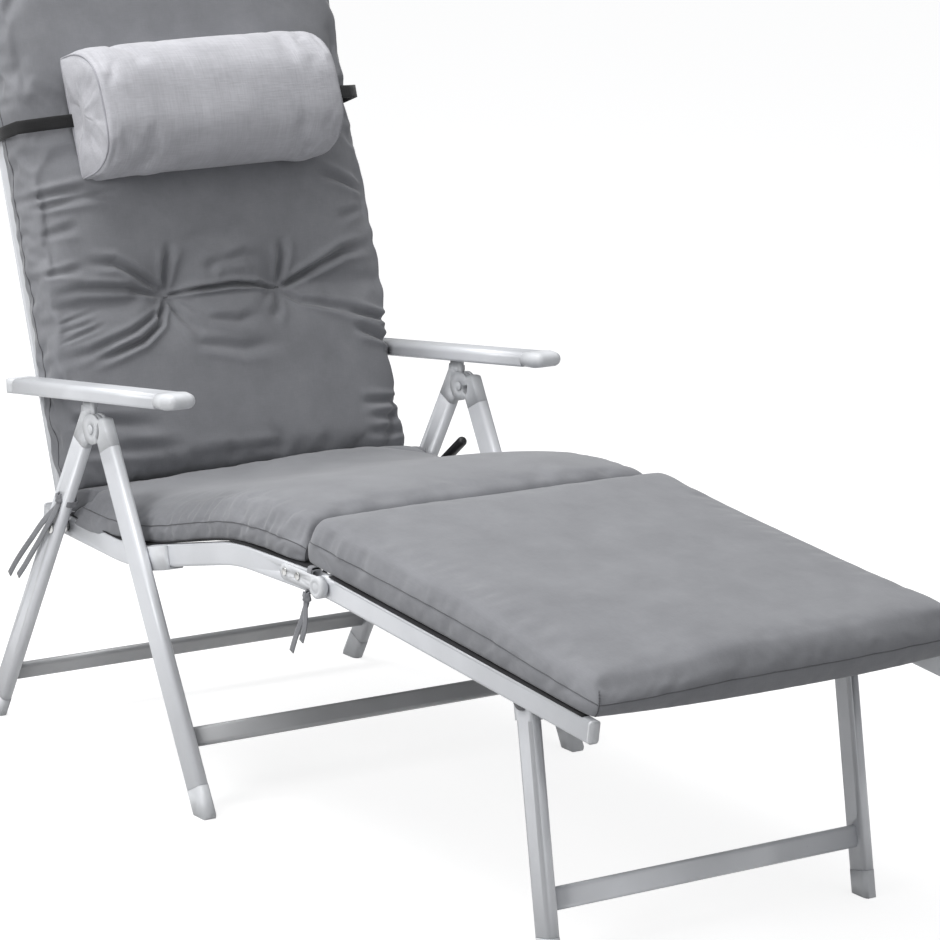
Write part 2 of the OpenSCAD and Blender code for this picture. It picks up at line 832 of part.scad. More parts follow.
function neck_block() =
  let (
    d = (arm_pin - rear_top) / norm(arm_pin - rear_top),
    n = [-d.y, d.x],
    half = (neck_top_d + neck_d) / 4
  )
  [neck_low - neck_top_d / 2 * n, neck_low + neck_top_d / 2 * n, rear_top + half * n, rear_top - half * n];

module apex_hub() {
  difference() {
    union() {
      difference() {
        intersection() {
          side(leg_x - hub_w, leg_x + hub_w) hub_outline();
          rear_leg_frame()
            leg_round(rear_leg_d, rear_leg_w, rear_tube_top, rear_leg_reach - hub_top_drop + rear_leg_d / 2);
        }
        at(apex) cross_bore(leg_x - hub_w, leg_x + hub_w, cheek_r + side_clear);
      }
      // The neck is thicker between the hub and the arm rest
      side(leg_x - neck_w / 2, leg_x + neck_w / 2)
        difference() {
          polygon(neck_block());
          translate(apex) circle(cheek_r + 2 * side_clear);
        }
      side(leg_x - tongue_w / 2, leg_x + tongue_w / 2) {
        translate(apex) circle(tongue_r);
        thick_line(rear_top, neck_top, neck_d, neck_top_d);
        thick_line(neck_top, arm_pin, neck_top_d, 2 * eye_r);
        intersection() {
          hub_outline();
          translate(apex) circle(cheek_r + 2 * side_clear);
        }
      }
    }
    at(apex) cross_bore(leg_x - hub_w, leg_x + hub_w, bolt_r);
    at(arm_pin) cross_bore(leg_x - hub_w, leg_x + hub_w, arm_pin_r);
  }
  rear_leg_frame() tube_plug(leg_x, rear_leg_d, rear_leg_w, rear_tube_top);
}

// The outside of a leg's tube, carried on over its end up to a rounded top
module leg_round(d, w, end, top) {
  intersection() {
    translate([leg_x, 0, end])
      linear_extrude(top - end) round_box([w, d], w * tube_r_share);
    translate([leg_x, d, 0])
      rotate([90, 0, 0])
        linear_extrude(2 * d) {
          translate([0, top - w / 2]) circle(w / 2 + side_clear);
          translate([-w, end - over]) square([2 * w, top - w / 2 - end + over]);
        }
  }
}

// Plug of an apex fitting inside the top of its leg tube
hub_plug_l = 22;
module tube_plug(x, d, w, top) {
  inset = 2 * (leg_wall + plug_fit);
  translate([x, 0, top - hub_plug_l])
    linear_extrude(hub_plug_l + over)
      round_box([w - inset, d - inset], w * tube_r_share - leg_wall);
}

module apex_hubs() color(plastic) placed() both_sides() apex_hub();

// Apex pins, and the short pins in the necks that hold the arm racks
cap_w = front_leg_w;
cheek_out = cap_w / 2;
module apex_pins() {
  color(plastic)
    placed() both_sides() {
      at(apex)
        cross_bolt(leg_x - cheek_out - side_clear, leg_x + cheek_out + side_clear, bolt_r, rivet_head_r + 1, rivet_head_h);
      at(arm_pin)
        translate([leg_x, 0, 0])
          rotate([0, 90, 0]) cylinder(r = arm_pin_r, h = arm_pin_l, center = true);
    }
}

// Pivot bolts where the rear legs cross the seat rails, each with its washer
pivot_play = 0.1;
module leg_pivot_bolts() {
  x0 = rail_inner - pivot_play;
  x1 = leg_x + rear_leg_w / 2;
  color(steel)
    placed() both_sides()
      at(leg_pivot) {
        cross_bolt(x0, x1, bolt_r, head_r, head_h);
        cross_ring(rail_outer + pivot_play, leg_x - rear_leg_w / 2, head_r, bolt_r);
      }
}

// Front legs with their clevis caps at the apex
module front_leg() {
  color(paint)
    front_leg_frame() leg_tube(leg_x, front_leg_d, front_leg_w, foot_start(front_leg_d, front_lean), front_tube_top);
}
module front_leg_left() placed() front_leg();
module front_leg_right() placed() mirror([1, 0, 0]) front_leg();

module front_crossbar() {
  color(paint)
    placed() front_leg_frame()
      translate([0, 0, front_bar_h / cos(front_lean)]) crossbar(leg_x, front_leg_w, bar_d);
}

module front_feet() {
  color(plastic)
    placed() both_sides()
      translate([0, -front_foot_y, 0]) foot_cap(leg_x, front_leg_d, front_leg_w, -front_lean);
}

module cap_outline() {
  up = [sin(front_lean), cos(front_lean)];
  across = [cos(front_lean), -sin(front_lean)];
  low = front_top - (hub_clear_r + hub_body_l) * up;
  outer = front_leg_d;
  top = front_top - cap_top_drop * up;
  polygon([
    low + outer / 2 * across, top + outer / 2 * across,
    top - outer / 2 * across, low - outer / 2 * across
  ]);
  translate(top) circle(outer / 2);
}

module apex_cap() {
  difference() {
    union() {
      intersection() {
        side(leg_x - cap_w, leg_x + cap_w)
          difference() {
            cap_outline();
            translate(apex) circle(tongue_r + 2 * side_clear);
          }
        front_leg_frame()
          leg_round(front_leg_d, front_leg_w, front_tube_top, front_leg_reach - cap_top_drop + front_leg_d / 2);
      }
      for (s = [-1, 1])
        side(leg_x + (s > 0 ? tongue_w / 2 + side_clear : -cap_w / 2), leg_x + (s > 0 ? cap_w / 2 : -tongue_w / 2 - side_clear)) {
          translate(apex) circle(cheek_r);
          intersection() {
            cap_outline();
            translate(apex) circle(tongue_r + 4 * side_clear);
          }
        }
    }
    at(apex) cross_bore(leg_x - cap_w, leg_x + cap_w, bolt_r + run_clear);
  }
  front_leg_frame() tube_plug(leg_x, front_leg_d, front_leg_w, front_tube_top);
}

module apex_caps() color(plastic) placed() both_sides() apex_cap();

// Saddles on the front legs: open channels in which the seat rails rest
saddle_l = 66;
saddle_wall = 3.4;
saddle_floor = 3;
saddle_y = -256;
module saddles() {
  z = rail_z(saddle_y);
  fall = heading(1);
  x_in = rail_inner - side_clear;
  x_out = rail_outer + side_clear;
  low = -rail_d / 2 - side_clear;
  high = rail_d / 2 - rail_round / 2;
  color(plastic)
    placed() both_sides()
      translate([0, saddle_y, z])
        rotate([fall, 0, 0])
          along_y(-saddle_l / 2, saddle_l / 2)
            mirror([0, 1])
              difference() {
                translate([x_in - saddle_wall, low - saddle_floor])
                  square([leg_x - front_leg_w / 2 - x_in + saddle_wall, high - low + saddle_floor]);
                translate([x_in, low]) square([x_out - x_in, high - low + over]);
              }
}

// Back frame: rails, corner elbows and top tube
corner_r = 55;
back_low = -16;
module back_section() tube_section([back_rail_w, back_rail_d], rail_round, rail_wall);

module back_rail() {
  top = back_len - back_rail_w / 2 - corner_r;
  color(paint)
    back_frame()
      difference() {
        translate([back_x, 0, 0]) along_y(back_low, top) back_section();
        cross_bore(back_x - back_rail_w / 2, back_x + back_rail_w / 2, rod_r + run_clear);
        translate([0, arm_hinge_s, 0])
          cross_bore(back_x - back_rail_w / 2, back_x + back_rail_w / 2, bolt_r);
      }
}
module back_rail_left() placed() back_rail();
module back_rail_right() placed() mirror([1, 0, 0]) back_rail();

module back_corners() {
  color(paint)
    placed() back_frame() both_sides()
      translate([back_x - corner_r, back_len - back_rail_w / 2 - corner_r, 0])
        rotate_extrude(angle = 90, $fn = 120)
          translate([corner_r, 0]) back_section();
}

module back_top_tube() {
  half = back_x - corner_r;
  color(paint)
    placed() back_frame()
      translate([0, back_len - back_rail_w / 2, 0])
        rotate([0, 90, 0])
          linear_extrude(2 * half, center = true)
            tube_section([back_rail_d, back_rail_w], rail_round, rail_wall);
}

module back_sling() {
  half = back_x + back_rail_w / 2 - sling_edge;
  high = back_len - back_rail_w / 2 - corner_r;
  color(black)
    placed() back_frame()
      translate([-half, -back_low / 2, back_rail_d / 2])
        cube([2 * half, high + back_low / 2, sling_t]);
}

// Bolts that carry the arm rests on the back rails, with their spacers
module arm_pivot_bolts() {
  x0 = back_x - back_rail_w / 2;
  x1 = arm_x - arm_w / 2 + arm_round + pivot_play;
  color(steel)
    placed() back_frame() both_sides()
      translate([0, arm_hinge_s, 0]) {
        cross_bolt(x0, x1, bolt_r, head_r - 1, head_h);
        cross_ring(x0 + back_rail_w, arm_x - arm_w / 2 - pivot_play, head_r, bolt_r);
      }
}

// Arm rests. Their section is drawn in [x, z] about the middle of the arm.
arm_round = 8;
slot_rear = 134;
slot_front = 318;
arm_cap_l = 42;
rear_cap_l = arm_rear + head_r + 2 * arm_wall;
screw_inset = 8;
module arm_rest() {
  color(paint)
    arm_frame()
      difference() {
        translate([arm_x, 0, 0])
          along_y(arm_cap_l - arm_front, arm_rear - rear_cap_l)
            mirror([0, 1])
              difference() {
                arm_box(0);
                arm_box(-arm_wall);
              }
        translate([leg_x - slot_w / 2, -slot_front, -arm_h])
          cube([slot_w, slot_front - slot_rear, arm_h]);
        for (s = rack_screws) translate([leg_x, -s, -arm_h]) cylinder(r = rivet_r, h = arm_h);
      }
}

// Rounded box with a larger radius at the top corners
module arm_box(grow) {
  w = arm_w / 2 + grow;
  h = arm_h / 2 + grow;
  r = arm_round + grow;
  low_r = arm_round / 2 + grow;
  translate([-(w - r), -(h - low_r)]) square([2 * (w - r), 2 * h - low_r]);
  translate([-(w - low_r), -h]) square([2 * (w - low_r), h]);
  translate([-w, low_r - h]) square([2 * w, 2 * h - r - low_r]);
  for (s = [-1, 1]) {
    translate([s * (w - r), h - r]) circle(r);
    translate([s * (w - low_r), low_r - h]) circle(low_r);
  }
}
module arm_left() placed() arm_rest();
module arm_right() placed() mirror([1, 0, 0]) arm_rest();

// Rack under an arm: its teeth follow the path of the neck's pin as the back
// reclines, with the pin just clear of them at every angle.
rack_w = 16;
rack_groove = tongue_w + 1;
rack_end = 12;
rack_step = 2;
tooth_gap = 0.5;
notch_depth = 2.2;
rack_screws = [slot_rear - screw_inset, slot_front + screw_inset];
function turned(v, a) = [v.x * cos(a) + v.y * sin(a), v.y * cos(a) - v.x * sin(a)];
function pin_seen(r) =
  let (
    at_hinge = hinge + turned(arm_hinge - hinge, r),
    rise = arm_rise + arm_turn_share * r,
    d = arm_pin - at_hinge
  )
  [-d.x * cos(rise) + d.y * sin(rise), d.x * sin(rise) + d.y * cos(rise)];

module rack_outline() {
  top = arm_h / 2 - arm_wall;
  path = [for (r = [recline_min - rack_step:rack_step:recline_max + rack_step]) pin_seen(r) + [0, arm_pin_r + tooth_gap]];
  first = path[0];
  last = path[len(path) - 1];
  difference() {
    polygon(concat(
      [[slot_rear - 2 * screw_inset, top], [slot_rear - 2 * screw_inset, -top], [slot_rear, -top], [slot_rear, first.y]],
      path,
      [[slot_front, last.y], [slot_front, -top], [slot_front + 2 * screw_inset, -top], [slot_front + 2 * screw_inset, top]]
    ));
    for (k = [0:notches - 1])
      let (p = pin_seen(recline_min + k * (recline_max - recline_min) / (notches - 1)))
      translate([p.x, p.y + notch_depth]) circle(arm_pin_r + tooth_gap);
  }
}

module arm_rack() {
  low = -arm_h / 2;
  arm_frame() {
    color(dark_grey)
      translate([leg_x - rack_w / 2, 0, 0])
        rotate([90, 0, 90])
          difference() {
            linear_extrude(rack_w) mirror([1, 0]) rack_outline();
            // Groove for the neck, whose pin meets the teeth on both sides
            translate([-slot_front, -arm_h, (rack_w - rack_groove) / 2])
              cube([slot_front - slot_rear, 2 * arm_h, rack_groove]);
            for (s = rack_screws)
              translate([-s, low, rack_w / 2])
                rotate([-90, 0, 0]) cylinder(r = rivet_r, h = arm_h / 2);
          }
    color(steel)
      for (s = rack_screws)
        translate([leg_x, -s, low]) {
          cylinder(r = rivet_r, h = arm_h / 2);
          translate([0, 0, -rivet_head_h]) cylinder(r = rivet_head_r - 1, h = rivet_head_h);
        }
  }
}
module arm_rack_left() placed() arm_rack();
module arm_rack_right() placed() mirror([1, 0, 0]) arm_rack();

// Bulbous cap on an arm's front end, with its plug
cap_bulge = 2;
module arm_front_cap() {
  w = arm_w / 2 + cap_bulge;
  h = arm_h / 2 + cap_bulge;
  r = h - cap_bulge / 2;
  y0 = arm_cap_l - arm_front;
  color(plastic)
    translate([arm_x, 0, 0]) {
      difference() {
        hull() {
          for (s = [-1, 1]) {
            translate([s * (w - r), y0 - arm_cap_l / 2, 0]) sphere(r, $fn = 24);
            translate([s * (w - r - cap_bulge), y0 - arm_cap_l + r, 0]) sphere(r - cap_bulge / 2, $fn = 24);
            translate([s * (w - r), y0, 0]) sphere(r - cap_bulge / 2, $fn = 24);
          }
        }
        translate([-2 * w, y0, -2 * h]) cube([4 * w, 4 * h, 4 * h]);
      }
      along_y(y0, y0 + plug_depth)
        mirror([0, 1]) arm_box(-arm_wall - plug_fit);
    }
}
module arm_front_cap_left() placed() arm_frame() arm_front_cap();
module arm_front_cap_right() placed() mirror([1, 0, 0]) arm_frame() arm_front_cap();

// Rounded end of an arm, with a pocket open below for its pivot bolt's head
rear_round_share = 0.34;
module arm_rear_cap() {
  y0 = arm_rear - rear_cap_l;
  r = rear_round_share * arm_w;
  seat_x = arm_round - arm_w / 2;
  color(plastic)
    translate([arm_x, 0, 0]) {
      difference() {
        intersection() {
          along_y(y0, arm_rear) mirror([0, 1]) arm_box(0);
          side(-arm_w, arm_w)
            union() {
              translate([arm_rear - arm_h / 2, 0]) circle(arm_h / 2);
              translate([y0, -arm_h / 2]) square([rear_cap_l - arm_h / 2, arm_h]);
            }
          translate([0, 0, -arm_h])
            linear_extrude(2 * arm_h)
              union() {
                for (s = [-1, 1]) translate([s * (arm_w / 2 - r), arm_rear - r]) circle(r);
                translate([r - arm_w / 2, y0]) square([arm_w - 2 * r, rear_cap_l]);
                translate([-arm_w / 2, y0]) square([arm_w, rear_cap_l - r]);
              }
        }
        cross_bore(-arm_w / 2, seat_x, bolt_r + run_clear);
        side(seat_x, seat_x + 2 * head_h) {
          circle(head_r);
          translate([-head_r, -arm_h]) square([2 * head_r, arm_h]);
        }
      }
      along_y(y0 - plug_depth, y0) mirror([0, 1]) arm_box(-arm_wall - plug_fit);
    }
}
module arm_rear_cap_left() placed() arm_frame() arm_rear_cap();
module arm_rear_cap_right() placed() mirror([1, 0, 0]) arm_frame() arm_rear_cap();

// Leg rest rails, round at the knee
knee_end_r = leg_rail_d / 2;
module leg_rail() {
  color(paint)
    leg_frame()
      difference() {
        union() {
          translate([rail_x, 0, 0])
            along_y(-leg_rest_len, -knee_end_r) tube_section([leg_rail_w, leg_rail_d], rail_round, rail_wall);
          side(rail_x - leg_rail_w / 2, rail_x + leg_rail_w / 2)
            union() {
              circle(knee_end_r);
              translate([-1.5 * knee_end_r, -knee_end_r + rail_wall])
                square([1.5 * knee_end_r, 2 * (knee_end_r - rail_wall)]);
            }
        }
        cross_bore(rail_inner, rail_outer, bolt_r + run_clear);
      }
}
module leg_rail_left() placed() leg_rail();
module leg_rail_right() placed() mirror([1, 0, 0]) leg_rail();

module leg_rail_caps() {
  color(plastic)
    placed() leg_frame() both_sides()
      translate([rail_x, -leg_rest_len, 0])
        rotate([90, 0, 0]) rail_plug([leg_rail_w, leg_rail_d], rail_round, rail_wall);
}

front_spreader_in = 130;
module leg_spreaders() {
  color(paint)
    placed() leg_frame()
      for (y = [-knee_setback, front_spreader_in - leg_rest_len])
        translate([0, y, 0]) spreader(rail_x - leg_rail_w / 2);
}

sling_end = 14;
module leg_sling() {
  half = rail_x + leg_rail_w / 2 - sling_edge;
  color(black)
    placed() leg_frame()
      translate([-half, sling_end - leg_rest_len, leg_rail_d / 2])
        cube([2 * half, leg_rest_len - sling_end - knee_end_r / 2, sling_t]);
}

// Brackets that carry the stand: two cheeks under a web, fixed to the rail
cheek_t = 2.5;
bracket_r = 12;
web_rise = 17.5;
module stand_brackets() {
  in_0 = stand_x - stand_leg_w / 2 - side_clear - cheek_t;
  in_1 = stand_x - stand_leg_w / 2 - side_clear;
  out_0 = stand_x + stand_leg_w / 2 + side_clear;
  rail_side = rail_x - leg_rail_w / 2;
  color(plastic)
    placed() both_sides()
      difference() {
        at(stand_hinge)
          rotate([leg_rest_fall, 0, 0]) {
            for (x = [in_0, out_0])
              side(x, x + cheek_t)
                union() {
                  circle(bracket_r);
                  translate([-bracket_r, 0]) square([2 * bracket_r, web_rise + cheek_t]);
                }
            side(in_0, rail_side)
              translate([-bracket_r, web_rise]) square([2 * bracket_r, cheek_t]);
            side(rail_side - cheek_t, rail_side)
              translate([-bracket_r, web_rise - cheek_t]) square([2 * bracket_r, 4 * cheek_t]);
          }
        at(stand_hinge) cross_bore(in_0, out_0 + cheek_t, bolt_r);
      }
}

// Stand: two legs, crossbar and feet
stand_len = stand_hinge_h / cos(stand_splay);
module stand_leg() {
  end = stand_leg_d / 2;
  inset = foot_start(stand_leg_d, stand_splay);
  color(paint)
    stand_frame()
      difference() {
        union() {
          translate([stand_x, 0, inset - stand_len])
            linear_extrude(stand_len - inset - end)
              tube_section([stand_leg_w, stand_leg_d], stand_leg_w * tube_r_share, leg_wall);
          side(stand_x - stand_leg_w / 2, stand_x + stand_leg_w / 2)
            union() {
              circle(end);
              translate([-end + leg_wall, -1.5 * end]) square([2 * (end - leg_wall), 1.5 * end]);
            }
        }
        cross_bore(stand_x - stand_leg_w / 2, stand_x + stand_leg_w / 2, bolt_r + run_clear);
      }
}
module stand_leg_left() placed() stand_leg();
module stand_leg_right() placed() mirror([1, 0, 0]) stand_leg();

module stand_crossbar() {
  color(paint)
    placed() stand_frame()
      translate([0, 0, stand_bar_h / cos(stand_splay) - stand_len]) crossbar(stand_x, stand_leg_w, stand_bar_d);
}

module stand_feet() {
  color(plastic)
    placed() both_sides()
      translate([0, stand_hinge.x - stand_hinge_h * tan(stand_splay), 0])
        foot_cap(stand_x, stand_leg_d, stand_leg_w, -stand_splay);
}

module stand_pins() {
  reach = stand_leg_w / 2 + side_clear + cheek_t;
  color(steel)
    placed() both_sides()
      at(stand_hinge)
        cross_bolt(stand_x - reach, stand_x + reach, bolt_r, rivet_head_r + 1, rivet_head_h);
}

// Pillow: a D-section bolster with drawn-in ends, its flat face on the pad
strap_t = 1;
pillow_base = back_base + back_pad_t + strap_t + 2 * soft_gap;
pillow_s = back_len - pillow_drop;
pillow_rings = 21;
pillow_steps = 22;
pillow_end_share = 0.16;
pillow_bulge = 1.8;
module pillow() {
  rings = [
    for (i = [0:pillow_rings - 1])
      let (
        v = i / (pillow_rings - 1),
        x = pillow_l * (v - 1 / 2),
        size = 0.93 + 0.07 * end_round(v, pillow_end_share),
        h = pillow_h / 2 * size,
        d = pillow_d * size
      )
      [
        for (k = [0:pillow_steps - 1])
          let (a = 360 * k / pillow_steps, c = cos(a), s = sin(a), e = 0.62)
          [
            x,
            pillow_s + h * sign(c) * pow(abs(c), e),
            pillow_base + pillow_bulge + (s > 0 ? d * pow(s, 0.8) : -pillow_bulge * s * s)
          ]
      ]
  ];
  color(pillow_grey) placed() back_frame() skin(rings);
}

// Elastic strap of the pillow: a flat loop round the pad and the back frame
function strap_front(gap) = [
  for (k = [top_steps:-1:0])
    let (u = 2 * k / top_steps - 1)
    [
      pad_shift + u * (back_pad_w / 2 + gap),
      back_base + crown(u, 1 / 2, back_pad_t, 0.75, 0.6) + gap
    ]
];
function strap_loop(gap) =
  let (w = back_pad_w / 2 + gap, r = back_x + back_rail_w / 2 + gap)
  concat(
    [[-r, -back_rail_d / 2 - gap], [r, -back_rail_d / 2 - gap], [pad_shift + w, back_base]],
    strap_front(gap),
    [[pad_shift - w, back_base]]
  );

module pillow_strap() {
  color(black)
    placed() back_frame()
      translate([0, pillow_s + strap_w / 2, 0])
        rotate([90, 0, 0])
          linear_extrude(strap_w)
            difference() {
              polygon(strap_loop(soft_gap + strap_t));
              polygon(strap_loop(soft_gap));
            }
}

// Tie tapes. Each loop hugs what it is tied round, and each tail is a flat
// tape along points chosen by hand, as [x outside the leg, y, z] from a knot.
tape_w = 9;
tape_t = 1.4;
tape_gap = 0.3;
rear_knot = [leg_x + rear_leg_w / 2 + tape_gap + tape_t, -58, 343];
knee_knot = [rail_outer + plate_t + tape_gap + tape_t, -606, 338];
knot_r = 6.5;
knot_drop = 4;
long_start = [[1.1, 0, -4.05], [1.2, 0, -8]];
short_start = [[2.9, 0, -4.05], [3, 0, -8]];
rear_long_route = [
  [1.6, 4, -13], [3, 14, -22], [5, 34, -40], [6, 58, -66], [6, 84, -93], [5, 104, -114], [4, 120, -133]
];
rear_short_route = [[4, 2, -14], [5, 6, -23], [8, 20, -44], [9, 38, -68], [9, 58, -92], [8, 76, -112], [8, 91, -128]];
knee_long_route = [[3, 2, -18], [4, 6, -32], [5, 12, -46], [5, 18, -60], [5, 24, -76]];
knee_short_route = [[5, -3, -18], [6, -5, -30], [7, -4, -43], [7, 0, -56]];

// A flat tape swept along points, with an eight-sided section. Its flat lies
// against the leg, so its width runs in the side view.
function tape_dir(pts, i) =
  let (a = pts[max(i - 1, 0)], b = pts[min(i + 1, len(pts) - 1)])
  (b - a) / norm(b - a);
module tape(pts) {
  out = [1, 0, 0];
  rings = [
    for (i = [0:len(pts) - 1])
      let (
        d = tape_dir(pts, i),
        wide = cross(d, out) / norm(cross(d, out)),
        thick = cross(wide, d)
      )
      [
        for (k = [0:7])
          let (a = 45 * k + 22.5)
          pts[i] + tape_w / 2 * cos(a) / cos(22.5) * wide + tape_t / 2 * sin(a) / cos(22.5) * thick
      ]
  ];
  skin(rings);
}

// A knot with a flat back on its loop and a flat underside, where tails start
module knot(p) {
  intersection() {
    translate(p) sphere(knot_r, $fn = 24);
    translate(p - [0, 2 * tape_w, knot_drop]) cube([2 * tape_w, 4 * tape_w, 4 * tape_w]);
  }
}

// A flat loop in the [x, up] plane round a box of the given size
module tape_loop(w, h) {
  linear_extrude(tape_w, center = true)
    difference() {
      square([w + 2 * tape_t, h + 2 * tape_t], center = true);
      square([w, h], center = true);
    }
}

module rear_tie() {
  color(tape_grey)
    placed() mirror([1, 0, 0]) {
      rear_leg_frame()
        translate([leg_x, 0, rear_knot.z / cos(rear_lean)])
          tape_loop(rear_leg_w + 2 * tape_gap, rear_leg_d + 2 * tape_gap);
      knot(rear_knot);
    }
}

module knee_tie() {
  color(tape_grey)
    placed() mirror([1, 0, 0]) {
      z = rail_z(knee_knot.y);
      w = rail_w + 2 * plate_t + 2 * tape_gap;
      h = rail_d + sling_t + 2 * tape_gap;
      translate([rail_x, knee_knot.y, z + sling_t / 2])
        rotate([90 + atan(rail_slope(knee_knot.y)), 0, 0])
          difference() {
            tape_loop(w, h);
            // The sling passes here, so the loop stops below it and above it
            translate([-w / 2 - tape_w, (rail_d - sling_t) / 2 - tape_gap, -tape_w])
              cube([w / 2 + tape_w, 2 * tape_w, 2 * tape_w]);
          }
      knot(knee_knot);
    }
}

module tie_tail(start, route) {
  color(tape_grey)
    placed() mirror([1, 0, 0])
      tape([for (p = route) start + [p.x, p.y, p.z]]);
}
module rear_tie_tail_long() tie_tail(rear_knot, concat(long_start, rear_long_route));
module rear_tie_tail_short() tie_tail(rear_knot, concat(short_start, rear_short_route));
module knee_tie_tail_long() tie_tail(knee_knot, concat(long_start, knee_long_route));
module knee_tie_tail_short() tie_tail(knee_knot, concat(short_start, knee_short_route));

seat_rail_left();
seat_rail_right();
seat_rail_plugs();
seat_spreader();
hinge_rod();
knee_plates();
knee_knobs();
knee_rivets();
seat_sling();
seat_pad();
lock_lever();
knee_tie();
knee_tie_tail_long();
knee_tie_tail_short();
rear_leg_left();
rear_leg_right();
rear_crossbar();
rear_feet();
apex_hubs();
apex_pins();
leg_pivot_bolts();
rear_tie();
rear_tie_tail_long();
rear_tie_tail_short();
front_leg_left();
front_leg_right();
front_crossbar();
front_feet();
apex_caps();
saddles();
back_rail_left();
back_rail_right();
back_corners();
back_top_tube();
back_sling();
back_pad();
arm_pivot_bolts();
arm_left();
arm_front_cap_left();
arm_rear_cap_left();
arm_rack_left();
arm_right();
arm_front_cap_right();
arm_rear_cap_right();
arm_rack_right();
leg_rail_left();
leg_rail_right();
leg_rail_caps();
leg_spreaders();
stand_brackets();
leg_sling();
leg_pad();
stand_leg_left();
stand_leg_right();
stand_crossbar();
stand_feet();
stand_pins();
pillow();
pillow_strap();
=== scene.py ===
"""Folding sun lounger: cushions, cloth, materials, camera and lights, built in
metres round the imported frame. A number times MM is a length in mm."""

import json
import math

import bmesh
import bpy
import numpy as np
from mathutils import Matrix, Vector, noise
from mathutils.bvhtree import BVHTree


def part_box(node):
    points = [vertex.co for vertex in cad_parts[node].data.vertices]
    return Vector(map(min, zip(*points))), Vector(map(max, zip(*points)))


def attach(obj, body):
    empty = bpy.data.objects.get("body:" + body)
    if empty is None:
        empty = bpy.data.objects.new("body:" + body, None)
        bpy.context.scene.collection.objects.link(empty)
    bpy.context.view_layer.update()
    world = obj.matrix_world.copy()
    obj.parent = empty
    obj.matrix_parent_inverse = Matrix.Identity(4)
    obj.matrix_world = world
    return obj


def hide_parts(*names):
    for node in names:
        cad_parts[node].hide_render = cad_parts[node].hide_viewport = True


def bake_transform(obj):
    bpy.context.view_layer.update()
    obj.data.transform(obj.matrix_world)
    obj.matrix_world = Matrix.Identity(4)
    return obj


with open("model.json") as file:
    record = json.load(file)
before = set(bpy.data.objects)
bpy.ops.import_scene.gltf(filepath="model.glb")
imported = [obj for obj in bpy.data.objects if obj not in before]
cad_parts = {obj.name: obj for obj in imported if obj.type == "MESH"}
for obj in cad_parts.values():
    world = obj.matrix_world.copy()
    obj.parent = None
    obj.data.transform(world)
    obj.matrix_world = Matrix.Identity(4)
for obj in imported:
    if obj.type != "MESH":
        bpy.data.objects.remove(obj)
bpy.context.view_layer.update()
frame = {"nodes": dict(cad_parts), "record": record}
MM = 0.001

# The photograph's camera: angles in radians, lengths in metres, the lens in mm
AZIMUTH = -0.651161031
ELEVATION = 0.235761860
ROLL = 0.0443585581
DISTANCE = 5.40798422
TARGET = Vector((0.0, -0.10341, 0.454848840))
LENS = 162.4276


def make_camera():
    """The camera, solved from leg ends, bar ends and arm tips in the photograph."""
    level = math.cos(ELEVATION)
    back = Vector((math.sin(AZIMUTH) * level, -math.cos(AZIMUTH) * level, math.sin(ELEVATION)))
    flat_right = Vector((math.cos(AZIMUTH), math.sin(AZIMUTH), 0))
    flat_up = back.cross(flat_right)
    right = math.cos(ROLL) * flat_right + math.sin(ROLL) * flat_up
    up = -math.sin(ROLL) * flat_right + math.cos(ROLL) * flat_up
    data = bpy.data.cameras.new("camera")
    data.sensor_width = 36
    data.lens = LENS
    data.clip_end = 60
    camera = bpy.data.objects.new("camera", data)
    bpy.context.scene.collection.objects.link(camera)
    turn = Matrix((right, up, back)).transposed().to_4x4()
    camera.matrix_world = Matrix.Translation(TARGET + back * DISTANCE) @ turn
    bpy.context.scene.camera = camera


make_camera()

# The hinge rod's Y in the shared frame, and the leans of the local frames in degrees
CENTRE = 446.59 * MM
BACK_LEAN = 90 - 21
LEG_REST_LEAN = 4.8
REAR_LEG_LEAN = 25.884


def local_frame(y, z, lean_deg):
    """The CAD's local frame at (y, z) of the seat frame in mm, turned about X."""
    place = Matrix.Translation(Vector((0, y * MM + CENTRE, z * MM)))
    return place @ Matrix.Rotation(math.radians(lean_deg), 4, "X")


BACK = local_frame(0, 300, BACK_LEAN)
LEG = local_frame(-635, 357, LEG_REST_LEAN)
REAR_LEG = local_frame(108, 0, REAR_LEG_LEAN)


# Mesh helpers
def mesh_piece(name, points, faces, smooth=True):
    mesh = bpy.data.meshes.new(name)
    mesh.from_pydata([tuple(p) for p in points], [], faces)
    mesh.validate()
    mesh.polygons.foreach_set("use_smooth", [smooth] * len(mesh.polygons))
    mesh.update()
    piece = bpy.data.objects.new(name, mesh)
    bpy.context.scene.collection.objects.link(piece)
    return piece


def coords(mesh):
    co = np.zeros(len(mesh.vertices) * 3)
    mesh.vertices.foreach_get("co", co)
    return co.reshape(-1, 3)


def set_coords(mesh, co):
    mesh.vertices.foreach_set("co", co.astype(np.float32).ravel())
    mesh.update()


def normals(mesh):
    out = np.zeros(len(mesh.vertices) * 3)
    mesh.vertices.foreach_get("normal", out)
    return out.reshape(-1, 3)


def in_frame(matrix, points):
    m = np.array(matrix)
    return points @ m[:3, :3].T + m[:3, 3]


def out_of_frame(matrix, points):
    return in_frame(matrix.inverted(), points)


def spot_in(matrix, point):
    """One point given in a local frame, as a vector in the shared frame."""
    return Vector(in_frame(matrix, np.array([point]))[0])


